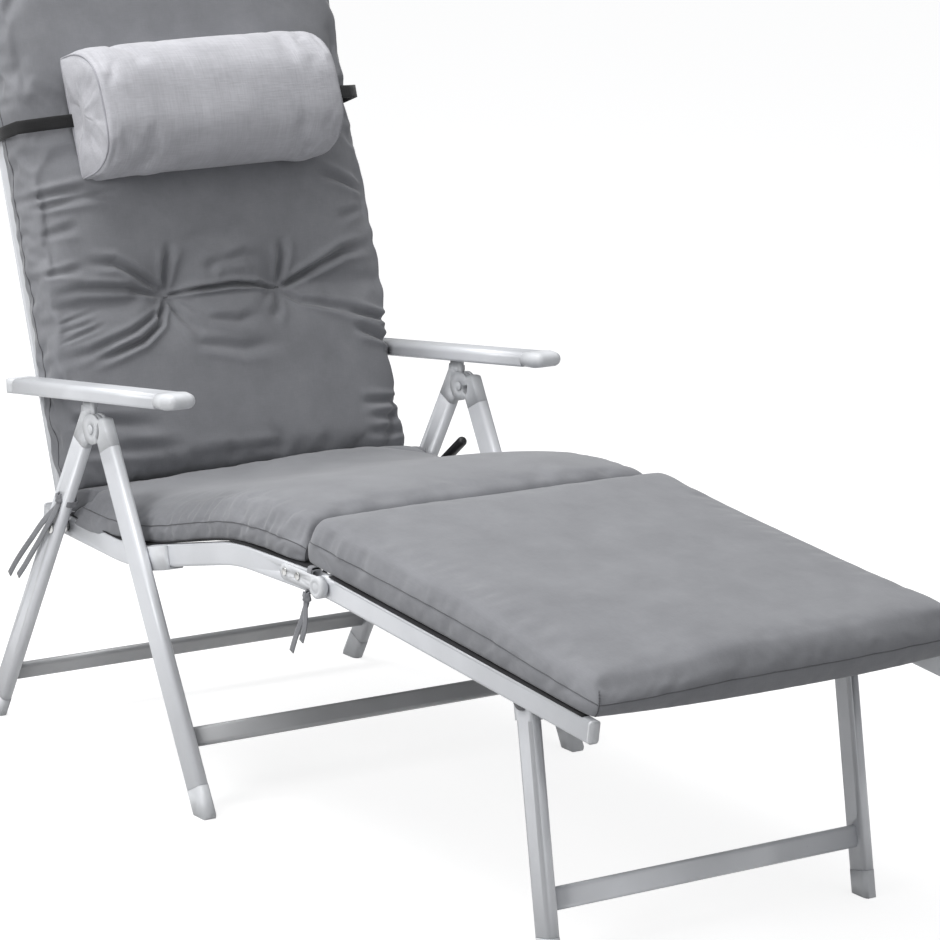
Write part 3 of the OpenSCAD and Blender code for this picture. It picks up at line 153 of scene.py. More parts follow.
def smooth_path(points, steps):
    """A smooth line through the points, with a number of steps to each span."""
    pts = [Vector(p) for p in points]
    pts = [2 * pts[0] - pts[1]] + pts + [2 * pts[-1] - pts[-2]]
    out = []
    for a, b, c, d in zip(pts, pts[1:], pts[2:], pts[3:]):
        for k in range(steps):
            t = k / steps
            out.append(
                0.5 * (2 * b + (c - a) * t + (2 * a - 5 * b + 4 * c - d) * t * t
                       + (3 * b - a - 3 * c + d) * t ** 3)
            )
    return out + [pts[-2]]


def heading(path, i, closed):
    """The direction of a path at its point i."""
    n = len(path)
    before = path[(i - 1) % n] if closed or i else path[0]
    after = path[(i + 1) % n] if closed or i < n - 1 else path[-1]
    return (after - before).normalized()


def skin(name, points, m, closed):
    """A skin over rings of m points each, with both ends capped unless it is closed."""
    n = len(points) // m
    faces = []
    for i in range(n if closed else n - 1):
        for j in range(m):
            q, r = i * m + j, i * m + (j + 1) % m
            s, t = ((i + 1) % n) * m + (j + 1) % m, ((i + 1) % n) * m + j
            faces.append((q, r, s, t))
    if not closed:
        faces += [tuple(range(m - 1, -1, -1)), tuple((n - 1) * m + j for j in range(m))]
    return mesh_piece(name, points, faces)


def strip(name, path, outs, width, thick, closed=False):
    """A flat tape along path. outs says which way its flat side faces."""
    section = [(-1, -0.35), (-0.94, -1), (-0.5, -1), (0, -1), (0.5, -1), (0.94, -1), (1, -0.35),
               (1, 0.35), (0.94, 1), (0.5, 1), (0, 1), (-0.5, 1), (-0.94, 1), (-1, 0.35)]
    points = []
    for i, p in enumerate(path):
        along = heading(path, i, closed)
        side = along.cross(Vector(outs[i])).normalized()
        out = side.cross(along)
        points += [p + side * (w * width / 2) + out * (t * thick / 2) for w, t in section]
    return skin(name, points, len(section), closed)


def tube(name, path, radius, closed=False, sides=8):
    """A round cord of thread or welt along path."""
    points = []
    for i, p in enumerate(path):
        along = heading(path, i, closed)
        guide = Vector((0, 0, 1)) if abs(along.z) < 0.9 else Vector((1, 0, 0))
        side = along.cross(guide).normalized()
        out = side.cross(along)
        for k in range(sides):
            t = 2 * math.pi * k / sides
            points.append(p + side * (math.cos(t) * radius) + out * (math.sin(t) * radius))
    return skin(name, points, sides, closed)


def join(name, pieces):
    """One piece of several meshes, with their points as they are."""
    points, faces, base = [], [], 0
    for piece in pieces:
        points += [v.co.copy() for v in piece.data.vertices]
        faces += [tuple(base + i for i in f.vertices) for f in piece.data.polygons]
        base = len(points)
        bpy.data.objects.remove(piece)
    return mesh_piece(name, points, faces)


# Materials
def material(name):
    mat = bpy.data.materials.new(name)
    mat.use_nodes = True
    tree = mat.node_tree
    tree.nodes.clear()
    out = tree.nodes.new("ShaderNodeOutputMaterial")
    shader = tree.nodes.new("ShaderNodeBsdfPrincipled")
    tree.links.new(shader.outputs[0], out.inputs[0])
    return mat, tree, shader


def set_inputs(tree, made, inputs):
    """Gives a node its inputs, each a value or another node's output."""
    for key, value in inputs.items():
        if isinstance(value, bpy.types.NodeSocket):
            tree.links.new(value, made.inputs[key])
        else:
            made.inputs[key].default_value = value


def node(tree, kind, inputs, **settings):
    """The first output of a new node."""
    made = tree.nodes.new("ShaderNode" + kind)
    for key, value in settings.items():
        setattr(made, key, value)
    set_inputs(tree, made, inputs)
    return made.outputs[0]


def object_place(tree):
    return tree.nodes.new("ShaderNodeTexCoord").outputs["Object"]


def noise_at(tree, place, scale, detail, **more):
    return node(tree, "TexNoise", {"Vector": place, "Scale": scale, "Detail": detail, **more})


def bumped(tree, height, strength, distance):
    return node(tree, "Bump", {"Height": height, "Strength": strength, "Distance": distance})


def ramp(tree, value, low, high):
    """A colour that runs between two stops, each a place from 0 to 1 and a colour."""
    made = tree.nodes.new("ShaderNodeValToRGB")
    tree.links.new(value, made.inputs[0])
    for element, (place, colour) in zip(made.color_ramp.elements, (low, high)):
        element.position = place
        element.color = (*colour, 1)
    return made.outputs[0]


def shaded(base):
    return tuple(v * 0.86 for v in base)


def linear(code):
    """A linear colour from a hex code."""
    out = []
    for i in (1, 3, 5):
        v = int(code[i:i + 2], 16) / 255
        out.append(v / 12.92 if v <= 0.04045 else ((v + 0.055) / 1.055) ** 2.4)
    return tuple(out)


def fabric(name, dark, light, thread, turn=0.0, bump=0.25, rough=0.78, sheen=0.3, show=0.05):
    """Woven cloth: two crossed sets of drawn-out threads, uneven dye, soft sheen.
    thread is the threads' pitch, turn the cloth's lean about X and show how much
    the threads differ in tone."""
    mat, tree, shader = material(name)
    turned = node(tree, "Mapping", {"Vector": object_place(tree), "Rotation": (turn, 0, 0)})
    pitch, drawn = 1 / thread, 0.07 / thread
    sets = []
    for scale in ((pitch, drawn, drawn), (drawn, pitch, pitch)):
        sets.append(noise_at(tree, node(tree, "Mapping", {"Vector": turned, "Scale": scale}), 1.0, 1.5))
    cross = node(tree, "Math", {0: sets[0], 1: sets[1]}, operation="ADD")
    dye = noise_at(tree, turned, 14.0, 5.0, Roughness=0.62)
    tone = ramp(tree, dye, (0.32, dark), (0.7, light))
    shade = node(tree, "MapRange", {0: cross, 1: 0.6, 2: 1.4, 3: 1 - show, 4: 1 + show})
    set_inputs(tree, shader, {
        "Base Color": node(tree, "VectorMath", {0: tone, 1: shade}, operation="MULTIPLY"),
        "Normal": bumped(tree, cross, bump, 0.0004),
        "Roughness": node(tree, "MapRange", {0: dye, 3: rough - 0.08, 4: rough + 0.08}),
        "Sheen Weight": sheen, "Sheen Roughness": 0.45, "Specular IOR Level": 0.3,
    })
    return mat


def painted(name, base):
    """Satin paint on tube: faint orange peel, dulling and small scuffs."""
    mat, tree, shader = material(name)
    place = object_place(tree)
    cloud = noise_at(tree, place, 9.0, 4.0)
    scuff = noise_at(tree, place, 170.0, 6.0, Roughness=0.7)
    peel = noise_at(tree, place, 520.0, 2.0)
    tone = ramp(tree, cloud, (0.3, shaded(base)), (0.7, base))
    marks = ramp(tree, scuff, (0.66, (1, 1, 1)), (0.76, (0.84, 0.84, 0.85)))
    set_inputs(tree, shader, {
        "Base Color": node(tree, "VectorMath", {0: tone, 1: marks}, operation="MULTIPLY"),
        "Roughness": node(tree, "MapRange", {0: scuff, 1: 0.3, 2: 0.8, 3: 0.33, 4: 0.52}),
        "Normal": bumped(tree, peel, 0.06, 0.0006),
        "Metallic": 0.12, "Coat Weight": 0.25, "Coat Roughness": 0.25,
    })
    return mat


def moulded(name, base, rough=0.46):
    """Moulded plastic: a fine spark grain and slight flow marks."""
    mat, tree, shader = material(name)
    place = object_place(tree)
    flow = noise_at(tree, place, 22.0, 3.0, Distortion=1.2)
    grains = noise_at(tree, place, 1520.0, 2.0)
    set_inputs(tree, shader, {
        "Base Color": ramp(tree, flow, (0.3, shaded(base)), (0.72, base)),
        "Roughness": node(tree, "MapRange", {0: grains, 1: 0.3, 2: 0.7, 3: rough - 0.06, 4: rough + 0.1}),
        "Normal": bumped(tree, grains, 0.12, 0.0003),
        "Coat Weight": 0.1,
    })
    return mat


def zinc(name):
    """Zinc-plated steel with a drawn grain."""
    mat, tree, shader = material(name)
    place = object_place(tree)
    stretched = node(tree, "Mapping", {"Vector": place, "Scale": (60.0, 900.0, 900.0)})
    grain = noise_at(tree, stretched, 1.0, 4.0)
    cloud = noise_at(tree, place, 90.0, 3.0)
    set_inputs(tree, shader, {
        "Base Color": ramp(tree, cloud, (0.3, (0.42, 0.42, 0.41)), (0.7, (0.66, 0.66, 0.65))),
        "Roughness": node(tree, "MapRange", {0: grain, 1: 0.3, 2: 0.7, 3: 0.24, 4: 0.42}),
        "Normal": bumped(tree, grain, 0.1, 0.0003),
        "Metallic": 1.0,
    })
    return mat


# Cloth that lies along the back is turned with it
BACK_TURN = -math.radians(BACK_LEAN)
SLING_TONES = (linear("#141416"), linear("#26262A"))
PAD_TONES = (linear("#7C7D81"), linear("#88898D"))
PAINT = painted("frame_paint", linear("#DCDEE2"))
# Painted shade: the crossbars get the frame's paint darkened, for the shade under the lounger
UNDERSIDE_SHADE_PAINT = painted("crossbar_painted_shade", linear("#B2B3B5"))
PLASTIC = moulded("light_plastic", linear("#D9DBDE"))
DARK = moulded("dark_plastic", linear("#4C4D51"))
BLACK = moulded("black_plastic", linear("#1C1C1E"), rough=0.5)
STEEL = zinc("zinc_steel")
SLING = fabric("black_sling", *SLING_TONES, 2.2 * MM, bump=0.6, sheen=0.1)
SLING_BACK = fabric("black_sling_back", *SLING_TONES, 2.2 * MM, BACK_TURN, bump=0.6, sheen=0.1)
PAD = fabric("pad_fabric", *PAD_TONES, 0.9 * MM)
PAD_BACK = fabric("pad_fabric_back", *PAD_TONES, 0.9 * MM, BACK_TURN)
# Painted shade: the pads' seam cords are darker than the pad, for the shade in the seams' grooves
WELT_PAINTED_SHADE = fabric("pad_seam_painted_shade", linear("#505155"), linear("#626367"), 0.9 * MM)
PILLOW = fabric("pillow_fabric", linear("#ADADB2"), linear("#BEBEC3"), 1.8 * MM, BACK_TURN,
                bump=0.7, show=0.1)
PILLOW_SEAM = fabric("pillow_seam", linear("#98989E"), linear("#AEAEB4"), 1.2 * MM, BACK_TURN, bump=0.5)
ELASTIC = fabric("black_elastic", linear("#101011"), linear("#232325"), 1.4 * MM, BACK_TURN,
                 bump=0.8, rough=0.7)
TAPE = fabric("tie_tape", linear("#76777B"), linear("#8A8B8F"), 1.0 * MM, bump=0.6)
THREAD = fabric("stitch_thread", linear("#5C5D60"), linear("#6E6F73"), 0.6 * MM)
SLOTS = {
    "frame_paint": PAINT, "light_plastic": PLASTIC, "dark_plastic": DARK, "black_plastic": BLACK,
    "zinc_steel": STEEL, "black_sling": SLING, "pad_fabric": PAD,
    "pillow_fabric": PILLOW, "black_elastic": ELASTIC, "tie_tape": TAPE,
}


def dress(piece, mat):
    piece.data.materials.clear()
    piece.data.materials.append(mat)
    return piece


def dress_frame():
    """Materials on the rigid CAD nodes, with soft normals over their curves."""
    slot_of = {s["node"]: s["material_slot"] for s in frame["record"]["subparts"]}
    for name, piece in frame["nodes"].items():
        mesh = piece.data
        # The two low crossbars take the darker paint, which paints the shade under the lounger
        mat = UNDERSIDE_SHADE_PAINT if name in ("front_crossbar", "rear_crossbar") else SLOTS[slot_of[name]]
        mesh.materials.clear()
        mesh.materials.append(mat)
        weld = piece.modifiers.new("weld", "WELD")
        weld.merge_threshold = 1e-5
        mesh.polygons.foreach_set("use_smooth", [True] * len(mesh.polygons))


dress_frame()


# Pads. Across a pad u runs from -1 to 1, along it v from 0 to 1, up through it w from 0 to 1
def end_round(v, edge):
    """From 0 at both ends of v to 1, as a quarter circle over the share edge."""
    d = np.minimum(v, 1 - v)
    return np.where(d >= edge, 1.0, np.sqrt(np.clip(1 - (1 - np.minimum(d, edge) / edge) ** 2, 0, 1)))


def ease(t):
    """A soft step from 0 to 1."""
    c = np.clip(t, 0, 1)
    return c * c * (3 - 2 * c)


# The radius of a pad's top edges, the share of even steps across it, and the
# share of its length that rounds at each end
EDGE_R = 15 * MM
EDGE_SHARE = 0.75
END_SHARE = 0.07


def spread(u):
    """Closer steps towards the edges."""
    return EDGE_SHARE * u + (1 - EDGE_SHARE) * np.sin(math.pi / 2 * u)


def soft_edge(u, v, half, length, radius=EDGE_R):
    """How far a pad's top falls near its outline."""
    across = np.clip(1 - (1 - np.abs(u)) * half / radius, 0, 1)
    along = np.clip(1 - np.minimum(v, 1 - v) * length / radius, 0, 1)
    t = np.clip(np.hypot(across, along), 0, 1)
    return 0.85 * radius * (1 - np.sqrt(1 - t * t))


def crown(u, v, thick, edge_share, end_share):
    """A pad's height, which falls to the given shares at its sides and ends."""
    at_end = end_share + (1 - end_share) * end_round(v, END_SHARE)
    return thick * at_end * (edge_share + (1 - edge_share) * (1 - np.abs(u) ** 3.2))


def block(name, shape, nu, nv, nw):
    """A closed box-like skin of quads. shape(u, v, w) gives points for arrays of
    u from -1 to 1 across, v from 0 to 1 along and w from 0 to 1 up. Returns the
    piece and each point's u, v, w."""
    index, uvw, faces = {}, [], []

    def point(i, j, k):
        key = (i, j, k)
        if key not in index:
            index[key] = len(uvw)
            uvw.append((2 * i / nu - 1, j / nv, k / nw))
        return index[key]

    def sheet(a, b, at, flip):
        for i in range(a):
            for j in range(b):
                places = ((i, j), (i + 1, j), (i + 1, j + 1), (i, j + 1))
                quad = [point(*at(*place)) for place in places]
                faces.append(quad[::-1] if flip else quad)

    sheet(nu, nv, lambda i, j: (i, j, nw), False)
    sheet(nu, nv, lambda i, j: (i, j, 0), True)
    sheet(nv, nw, lambda j, k: (0, j, k), True)
    sheet(nv, nw, lambda j, k: (nu, j, k), False)
    sheet(nu, nw, lambda i, k: (i, 0, k), False)
    sheet(nu, nw, lambda i, k: (i, nv, k), True)
    uvw = np.array(uvw)
    points = shape(uvw[:, 0], uvw[:, 1], uvw[:, 2])
    return mesh_piece(name, points, faces), uvw


def outward(piece):
    """Turns the faces outward."""
    bm = bmesh.new()
    bm.from_mesh(piece.data)
    bmesh.ops.recalc_face_normals(bm, faces=bm.faces)
    bm.to_mesh(piece.data)
    bm.free()


# The frames in which a cloth swells
CLOTH_FRAMES = 20


def stuff(piece, pins, cap, pressure, spare):
    """Cloth swollen by its filling. pins is each point's hold from 0 to 1; spare
    is the share of extra cloth, and no point moves further than cap."""
    start = coords(piece.data)
    hold = piece.vertex_groups.new(name="hold")
    for i, w in enumerate(pins):
        if w > 0:
            hold.add([i], float(w), "REPLACE")
    cloth = piece.modifiers.new("stuffing", "CLOTH")
    settings = cloth.settings
    settings.quality = 6
    settings.mass = 0.3
    settings.tension_stiffness = settings.compression_stiffness = 18
    settings.shear_stiffness = 8
    settings.bending_stiffness = 0.35
    settings.use_pressure = True
    settings.uniform_pressure_force = pressure
    settings.effector_weights.gravity = 0
    settings.vertex_group_mass = "hold"
    settings.pin_stiffness = 1.0
    settings.shrink_min = -spare
    cloth.point_cache.frame_start = 1
    cloth.point_cache.frame_end = CLOTH_FRAMES
    for f in range(1, CLOTH_FRAMES + 1):
        bpy.context.scene.frame_set(f)
    seen = piece.evaluated_get(bpy.context.evaluated_depsgraph_get())
    moved = np.array([v.co for v in seen.to_mesh().vertices]).reshape(-1, 3)
    seen.to_mesh_clear()
    piece.modifiers.remove(cloth)
    piece.vertex_groups.clear()
    step = moved - start
    far = np.linalg.norm(step, axis=1, keepdims=True)
    held = cap * np.tanh(far / cap) / np.maximum(far, 1e-9)
    set_coords(piece.data, start + step * held)
    bpy.context.scene.frame_set(1)


def refine(piece, levels=1):
    """Subdivides the mesh for good."""
    mod = piece.modifiers.new("refine", "SUBSURF")
    mod.levels = mod.render_levels = levels
    seen = piece.evaluated_get(bpy.context.evaluated_depsgraph_get())
    mesh = bpy.data.meshes.new_from_object(seen)
    piece.modifiers.clear()
    old, piece.data = piece.data, mesh
    bpy.data.meshes.remove(old)
    mesh.polygons.foreach_set("use_smooth", [True] * len(mesh.polygons))


def waves(points, seed):
    """Smooth noise from -1 to 1 at each point."""
    shift = Vector((seed * 7.3, seed * 3.1, seed * 5.7))
    return np.array([noise.noise(Vector(p) + shift) for p in points])


def fold(points, line, width, deep):
    """A fold's height at each point: a narrow groove along a bent line, with a
    swell on both sides, deepest at the line's start."""
    line = [np.array(p, float) * MM for p in line]
    reach = sum(np.linalg.norm(b - a) for a, b in zip(line, line[1:]))
    near, along, done = np.full(len(points), 9.0), np.zeros(len(points)), 0.0
    for a, b in zip(line, line[1:]):
        size = np.linalg.norm(b - a)
        t = np.clip(((points - a) @ (b - a)) / size ** 2, 0, 1)
        off = np.linalg.norm(points - a - t[:, None] * (b - a), axis=1)
        closer = off < near
        near = np.where(closer, off, near)
        along = np.where(closer, (done + t * size) / reach, along)
        done += size
    spread_out = width * MM * (0.75 + 0.6 * along)
    fade = ease((done * along) / (26 * MM) + 0.25) * (1 - ease((along - 0.55) / 0.45)) * deep * 1.25 * MM
    swell = 0.5 * np.exp(-((near - 2.2 * spread_out) / (1.1 * spread_out)) ** 2)
    return fade * (swell - np.exp(-(near / spread_out) ** 2))


# The pads' place to the side, half width and draw of their sides, how thick their
# seams are and how deep they sink in, and how thick the stitches are
SHIFT = 6 * MM
HALF = 280 * MM
DRAW = 5 * MM
SEAM_R = 1.1 * MM
SEAM_SINK = 0.45
STITCH_R = 0.9 * MM


def pad_half(v, w, waist=4 * MM):
    """A pad's half width, drawn in at its waist, its ends and its seams."""
    wide = HALF - waist * np.sin(math.pi * v) ** 2 - DRAW * (1 - end_round(v, END_SHARE))
    return wide - DRAW * (1 - np.sin(math.pi * w))


def pad_pins(uvw):
    """How firmly a pad's points are held: the base fully, the top rim nearly so."""
    u, v, w = uvw.T
    on_rim = ((np.abs(u) > 0.9999) | (v < 1e-6) | (v > 1 - 1e-6)) & (w > 0.9999)
    return np.maximum(np.where(w < 1e-6, 1.0, 0.0), np.where(on_rim, 0.9, 0.0))


def facing(normal, axis):
    """How much each point faces along an axis, from 0 to 1."""
    return np.clip(np.abs(normal[:, axis]) * 1.6 - 0.3, 0, 1)


def near_edge(x, reach):
    """From 0 inside a pad to 1 at its side edges, over the width reach."""
    return np.clip(1 - (HALF - np.abs(x - SHIFT)) / reach, 0, 1)


def rim(shape, w):
    """The closed line round a pad at height w."""
    nu, nv = 70, 80
    us = np.concatenate([np.linspace(-1, 1, nu), np.ones(nv), np.linspace(1, -1, nu), -np.ones(nv)])
    vs = np.concatenate([np.zeros(nu), np.linspace(0, 1, nv), np.ones(nu), np.linspace(1, 0, nv)])
    line = shape(us, vs, np.full(len(us), w))
    keep = [0]
    for i in range(1, len(line)):
        if np.linalg.norm(line[i] - line[keep[-1]]) > 1e-4:
            keep.append(i)
    if np.linalg.norm(line[keep[-1]] - line[0]) < 1e-4:
        keep.pop()
    return [Vector(line[i]) for i in keep]


def settle(piece, lines, sink=0.3):
    """Moves the points of a seam line onto the piece's surface."""
    tree = BVHTree.FromObject(piece, bpy.context.evaluated_depsgraph_get())
    out, faces = [], []
    for p in lines:
        spot, normal, _, _ = tree.find_nearest(p)
        out.append(spot + normal * SEAM_R * (1 - 2 * sink))
        faces.append(normal)
    return out, faces


def finish_pad(piece, cad, body, mat, shape, seam_at=0.5, sewn=()):
    """Seams, slots and names of one pad: a seam round its sides at the share
    seam_at of their height, corner seams, and stitches on the corners in sewn."""
    dress(piece, mat)
    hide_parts(cad)
    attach(piece, body)
    welts = []
    path, outs = settle(piece, rim(shape, seam_at), SEAM_SINK)
    welts.append(tube("welt", path, SEAM_R * 0.75, closed=True, sides=6))
    for u in (-1, 1):
        for v in (0, 1):
            line = shape(np.full(25, float(u)), np.full(25, float(v)), np.linspace(0.04, 0.96, 25))
            path, outs = settle(piece, [Vector(p) for p in line], SEAM_SINK)
            welts.append(tube("welt", path, SEAM_R * 0.7, sides=6))
            if (u, v) in sewn:
                for k in range(1, 22, 2):
                    off = outs[k] * (0.5 * MM)
                    halfway = (path[k] + path[k + 1]) / 2
                    stitch = [path[k] + off, halfway + off, path[k + 1] + off]
                    welts.append(tube("stitch", stitch, STITCH_R, sides=6))
    # The seams take the darker cord colour, painted shade of their grooves
    seam = dress(join(cad + "_seams", welts), WELT_PAINTED_SHADE)
    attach(seam, body)


# Share by which the seat section thins down towards the back
SEAT_FALL = 0.2
# How much more of it the near side has, and the far side less
NEAR_FALL = 0.1


def seat_base_curve():
    """The curve of the CAD seat pad's base, from its lowest point in each step
    along Y near the sides, as the terms of a polynomial."""
    node_co = coords(frame["nodes"]["seat_pad"].data)
    sides = node_co[np.abs(node_co[:, 0]) > 0.25]
    ys, zs = [], []
    for i in np.argsort(sides[:, 1]):
        y, z = sides[i, 1], sides[i, 2]
        if ys and abs(y - ys[-1]) < 1.0e-4:
            zs[-1] = min(zs[-1], z)
        else:
            ys.append(float(y))
            zs.append(float(z))
    ys, zs = np.array(ys), np.array(zs)
    base_y, base_z = [], []
    bins = np.linspace(ys.min(), ys.max(), 26)
    for a, b in zip(bins, bins[1:]):
        inside = (ys >= a - 1e-6) & (ys <= b + 1e-6)
        if inside.any():
            i = np.argmin(np.where(inside, zs, 9))
            base_y.append(ys[i])
            base_z.append(zs[i])
    return np.polyfit(base_y, base_z, 5)


def build_seat_pad():
    fit = seat_base_curve()
    rear, front = CENTRE - 71 * MM, CENTRE - (635 - 50 - 3) * MM
    thick = 64 * MM

    def notch(y):
        """How far the far side draws in beside the black grip."""
        return 19 * MM * ease((190 * MM + (y - CENTRE)) / (24 * MM) + 1)

    def shape(u, v, w):
        u = spread(u)
        y = rear + (front - rear) * v
        z = np.polyval(fit, y)
        top = crown(u, v, thick, 0.8, 0.8) - soft_edge(u, v, HALF, rear - front)
        top = top * (1 - (SEAT_FALL - NEAR_FALL * u) * ease(1 - v / 0.42))
        half = pad_half(v, w)
        # The near side hangs over its rail, and down outside it towards the back
        near = np.where(u < -0.999, ease((0.22 - v) / 0.2) * ease(1 - w / 0.6), 0)
        out = np.where(u < 0, -u * (9 - 7 * w) * MM, 0) + near * 6 * MM
        x = SHIFT + u * half - out - np.where(u > 0, u, 0) * notch(y)
        up = top * w - near * 13 * MM
        corner = ease((-u - 0.8) / 0.2) * ease((0.05 - v) / 0.05) * ease(1 - w / 0.8) * 30 * MM
        lean = 0.19 * up * (1 - v) ** 6
        bulge = 4 * MM * np.sin(math.pi * w) * (ease((v - 0.97) / 0.03) - ease((0.03 - v) / 0.03))
        return np.stack([x, y + lean + corner - bulge + np.where(v > 0.999, 2 * MM, 0), z + up], axis=-1)

    piece, uvw = block("seat_cushion", shape, 60, 76, 8)
    outward(piece)
    stuff(piece, pad_pins(uvw), 4 * MM, pressure=2.6, spare=0.035)
    refine(piece, 2)
    co, nm = coords(piece.data), normals(piece.data)
    y = co[:, 1]
    high = co[:, 2] - np.polyval(fit, y)
    side = facing(nm, 0)
    topness = np.clip(nm[:, 2], 0, 1)
    along = (rear - y) / (rear - front)
    upper = ease((high - 20 * MM) / (7 * MM)) * ease((56 * MM - high) / (12 * MM))
    forward = 0.12 + 0.88 * ease((along - 0.3) / 0.3)
    ruche = waves(co * [6.0, 84.0, 9.0], 1) * 4.0 * MM * side * upper * forward
    ruche = ruche + waves(co * [6.0, 26.0, 14.0], 21) * 1.3 * MM * side
    edge = near_edge(co[:, 0], 30 * MM)
    pucker = waves(co * [10.0, 55.0, 10.0], 2) * 0.7 * MM * edge * topness
    sag = waves(co * [5.0, 7.0, 5.0], 3) * 1.6 * MM * topness
    set_coords(piece.data, co + nm * (ruche + pucker + sag)[:, None])
    finish_pad(piece, "seat_pad", "seat", PAD, shape, seam_at=0.6)


# Cross-section [y, z] of the cushion's bend over the hinge rod, in seat mm
HINGE_FOLD = [(-72, 318), (-50, 315), (-28, 313), (-12, 314), (-4, 319), (-5, 327),
              (-16, 335), (-38, 345), (-60, 352), (-78, 352), (-84, 340), (-80, 326)]


def build_hinge_fold():
    """The one-piece cushion's bend, which joins its seat and back sections."""
    outline = smooth_path([(0, y, z) for y, z in HINGE_FOLD + HINGE_FOLD[:1]], 4)[:-1]
    ring, steps = len(outline), 112
    middle = Vector((0, -44, 331))
    points, faces = [], []
    for i in range(steps + 1):
        v = i / steps
        x = -273.5 + 557 * v
        size = float(end_round(np.array(v), 0.012)) * 0.16 + 0.84
        for p in outline:
            q = middle + (p - middle) * size
            points.append((x * MM, q.y * MM + CENTRE, q.z * MM))
    for i in range(steps):
        for k in range(ring):
            a, b = i * ring + k, i * ring + (k + 1) % ring
            faces.append((a, b, b + ring, a + ring))
    faces += [tuple(range(ring)), tuple(steps * ring + k for k in range(ring - 1, -1, -1))]
    piece = mesh_piece("cushion_bend", points, faces)
    outward(piece)
    refine(piece)
    co, nm = coords(piece.data), normals(piece.data)
    crease = waves(co * [34.0, 16.0, 16.0], 31) * 1.2 * MM
    set_coords(piece.data, co + nm * crease[:, None])
    dress(piece, PAD)
    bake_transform(piece)


def build_leg_pad():
    start, length = 50 * MM, (50 + 528 + 8) * MM
    base, thick = (14 + 2 + 0.3) * MM, 62 * MM

    def shape(u, v, w):
        u = spread(u)
        top = crown(u, v, thick, 0.93, 0.91) - soft_edge(u, v, HALF, length, 7 * MM)
        # The near corner at the foot end lies lower, and the end bows out between its corners
        top = top - 15 * MM * ease((-u - 0.2) / 0.8) * ease((v - 0.5) / 0.5)
        bow = 16 * MM * (1 - np.abs(u) ** 2.5) * v ** 8
        # The near side hangs a little over its rail
        over = np.where(u < 0, (9 - 7 * w) * MM, 0)
        x = SHIFT + u * (pad_half(v, w, 2 * MM) + over)
        drawn = (10 - 38 * w + 44 * w * w) * MM
        knee = np.where(v < 0.001, 4 * MM * (1 - np.sin(math.pi * w)), 0)
        flat = np.stack([x, start - (length - drawn) * v - bow - knee, base + top * w], axis=-1)
        return in_frame(LEG, flat)

    piece, uvw = block("leg_cushion", shape, 60, 78, 8)
    outward(piece)
    stuff(piece, pad_pins(uvw), 2 * MM, pressure=2.0, spare=0.012)
    refine(piece, 2)
    co, nm = coords(piece.data), normals(piece.data)
    local = out_of_frame(LEG, co)
    side = facing(nm, 0)
    front = facing(nm, 1)
    topness = np.clip(nm[:, 2], 0, 1)
    along = (start - local[:, 1]) / length
    high = local[:, 2] - base
    belly = np.sin(np.clip(high / (53 * MM), 0, 1) * math.pi) ** 0.5
    upper = ease((high - 22 * MM) / (7 * MM)) * ease((60 * MM - high) / (12 * MM))
    at_knee = 1 - 0.9 * ease((along - 0.08) / 0.25)
    ruche = waves(co * [6.0, 84.0, 9.0], 4) * 3.8 * MM * side * upper * at_knee
    soft = waves(co * [14.0, 14.0, 30.0], 5) * 0.8 * MM * np.maximum(side, front)
    edge = near_edge(co[:, 0], 26 * MM)
    pucker = waves(co * [10.0, 50.0, 10.0], 6) * 0.6 * MM * edge * topness
    sag = waves(co * [5.0, 5.0, 5.0], 7) * 1.5 * MM * topness
    set_coords(piece.data, co + nm * ((ruche + soft) * belly + pucker + sag)[:, None])
    finish_pad(piece, "leg_pad", "leg_rest", PAD, shape, seam_at=0.55, sewn=((-1, 1),))


# The two tufts lie TUFT_X to each side of TUFT_MID, at TUFT_S along the back
TUFT_S = 275 * MM
TUFT_X = 92 * MM
TUFT_MID = 15 * MM
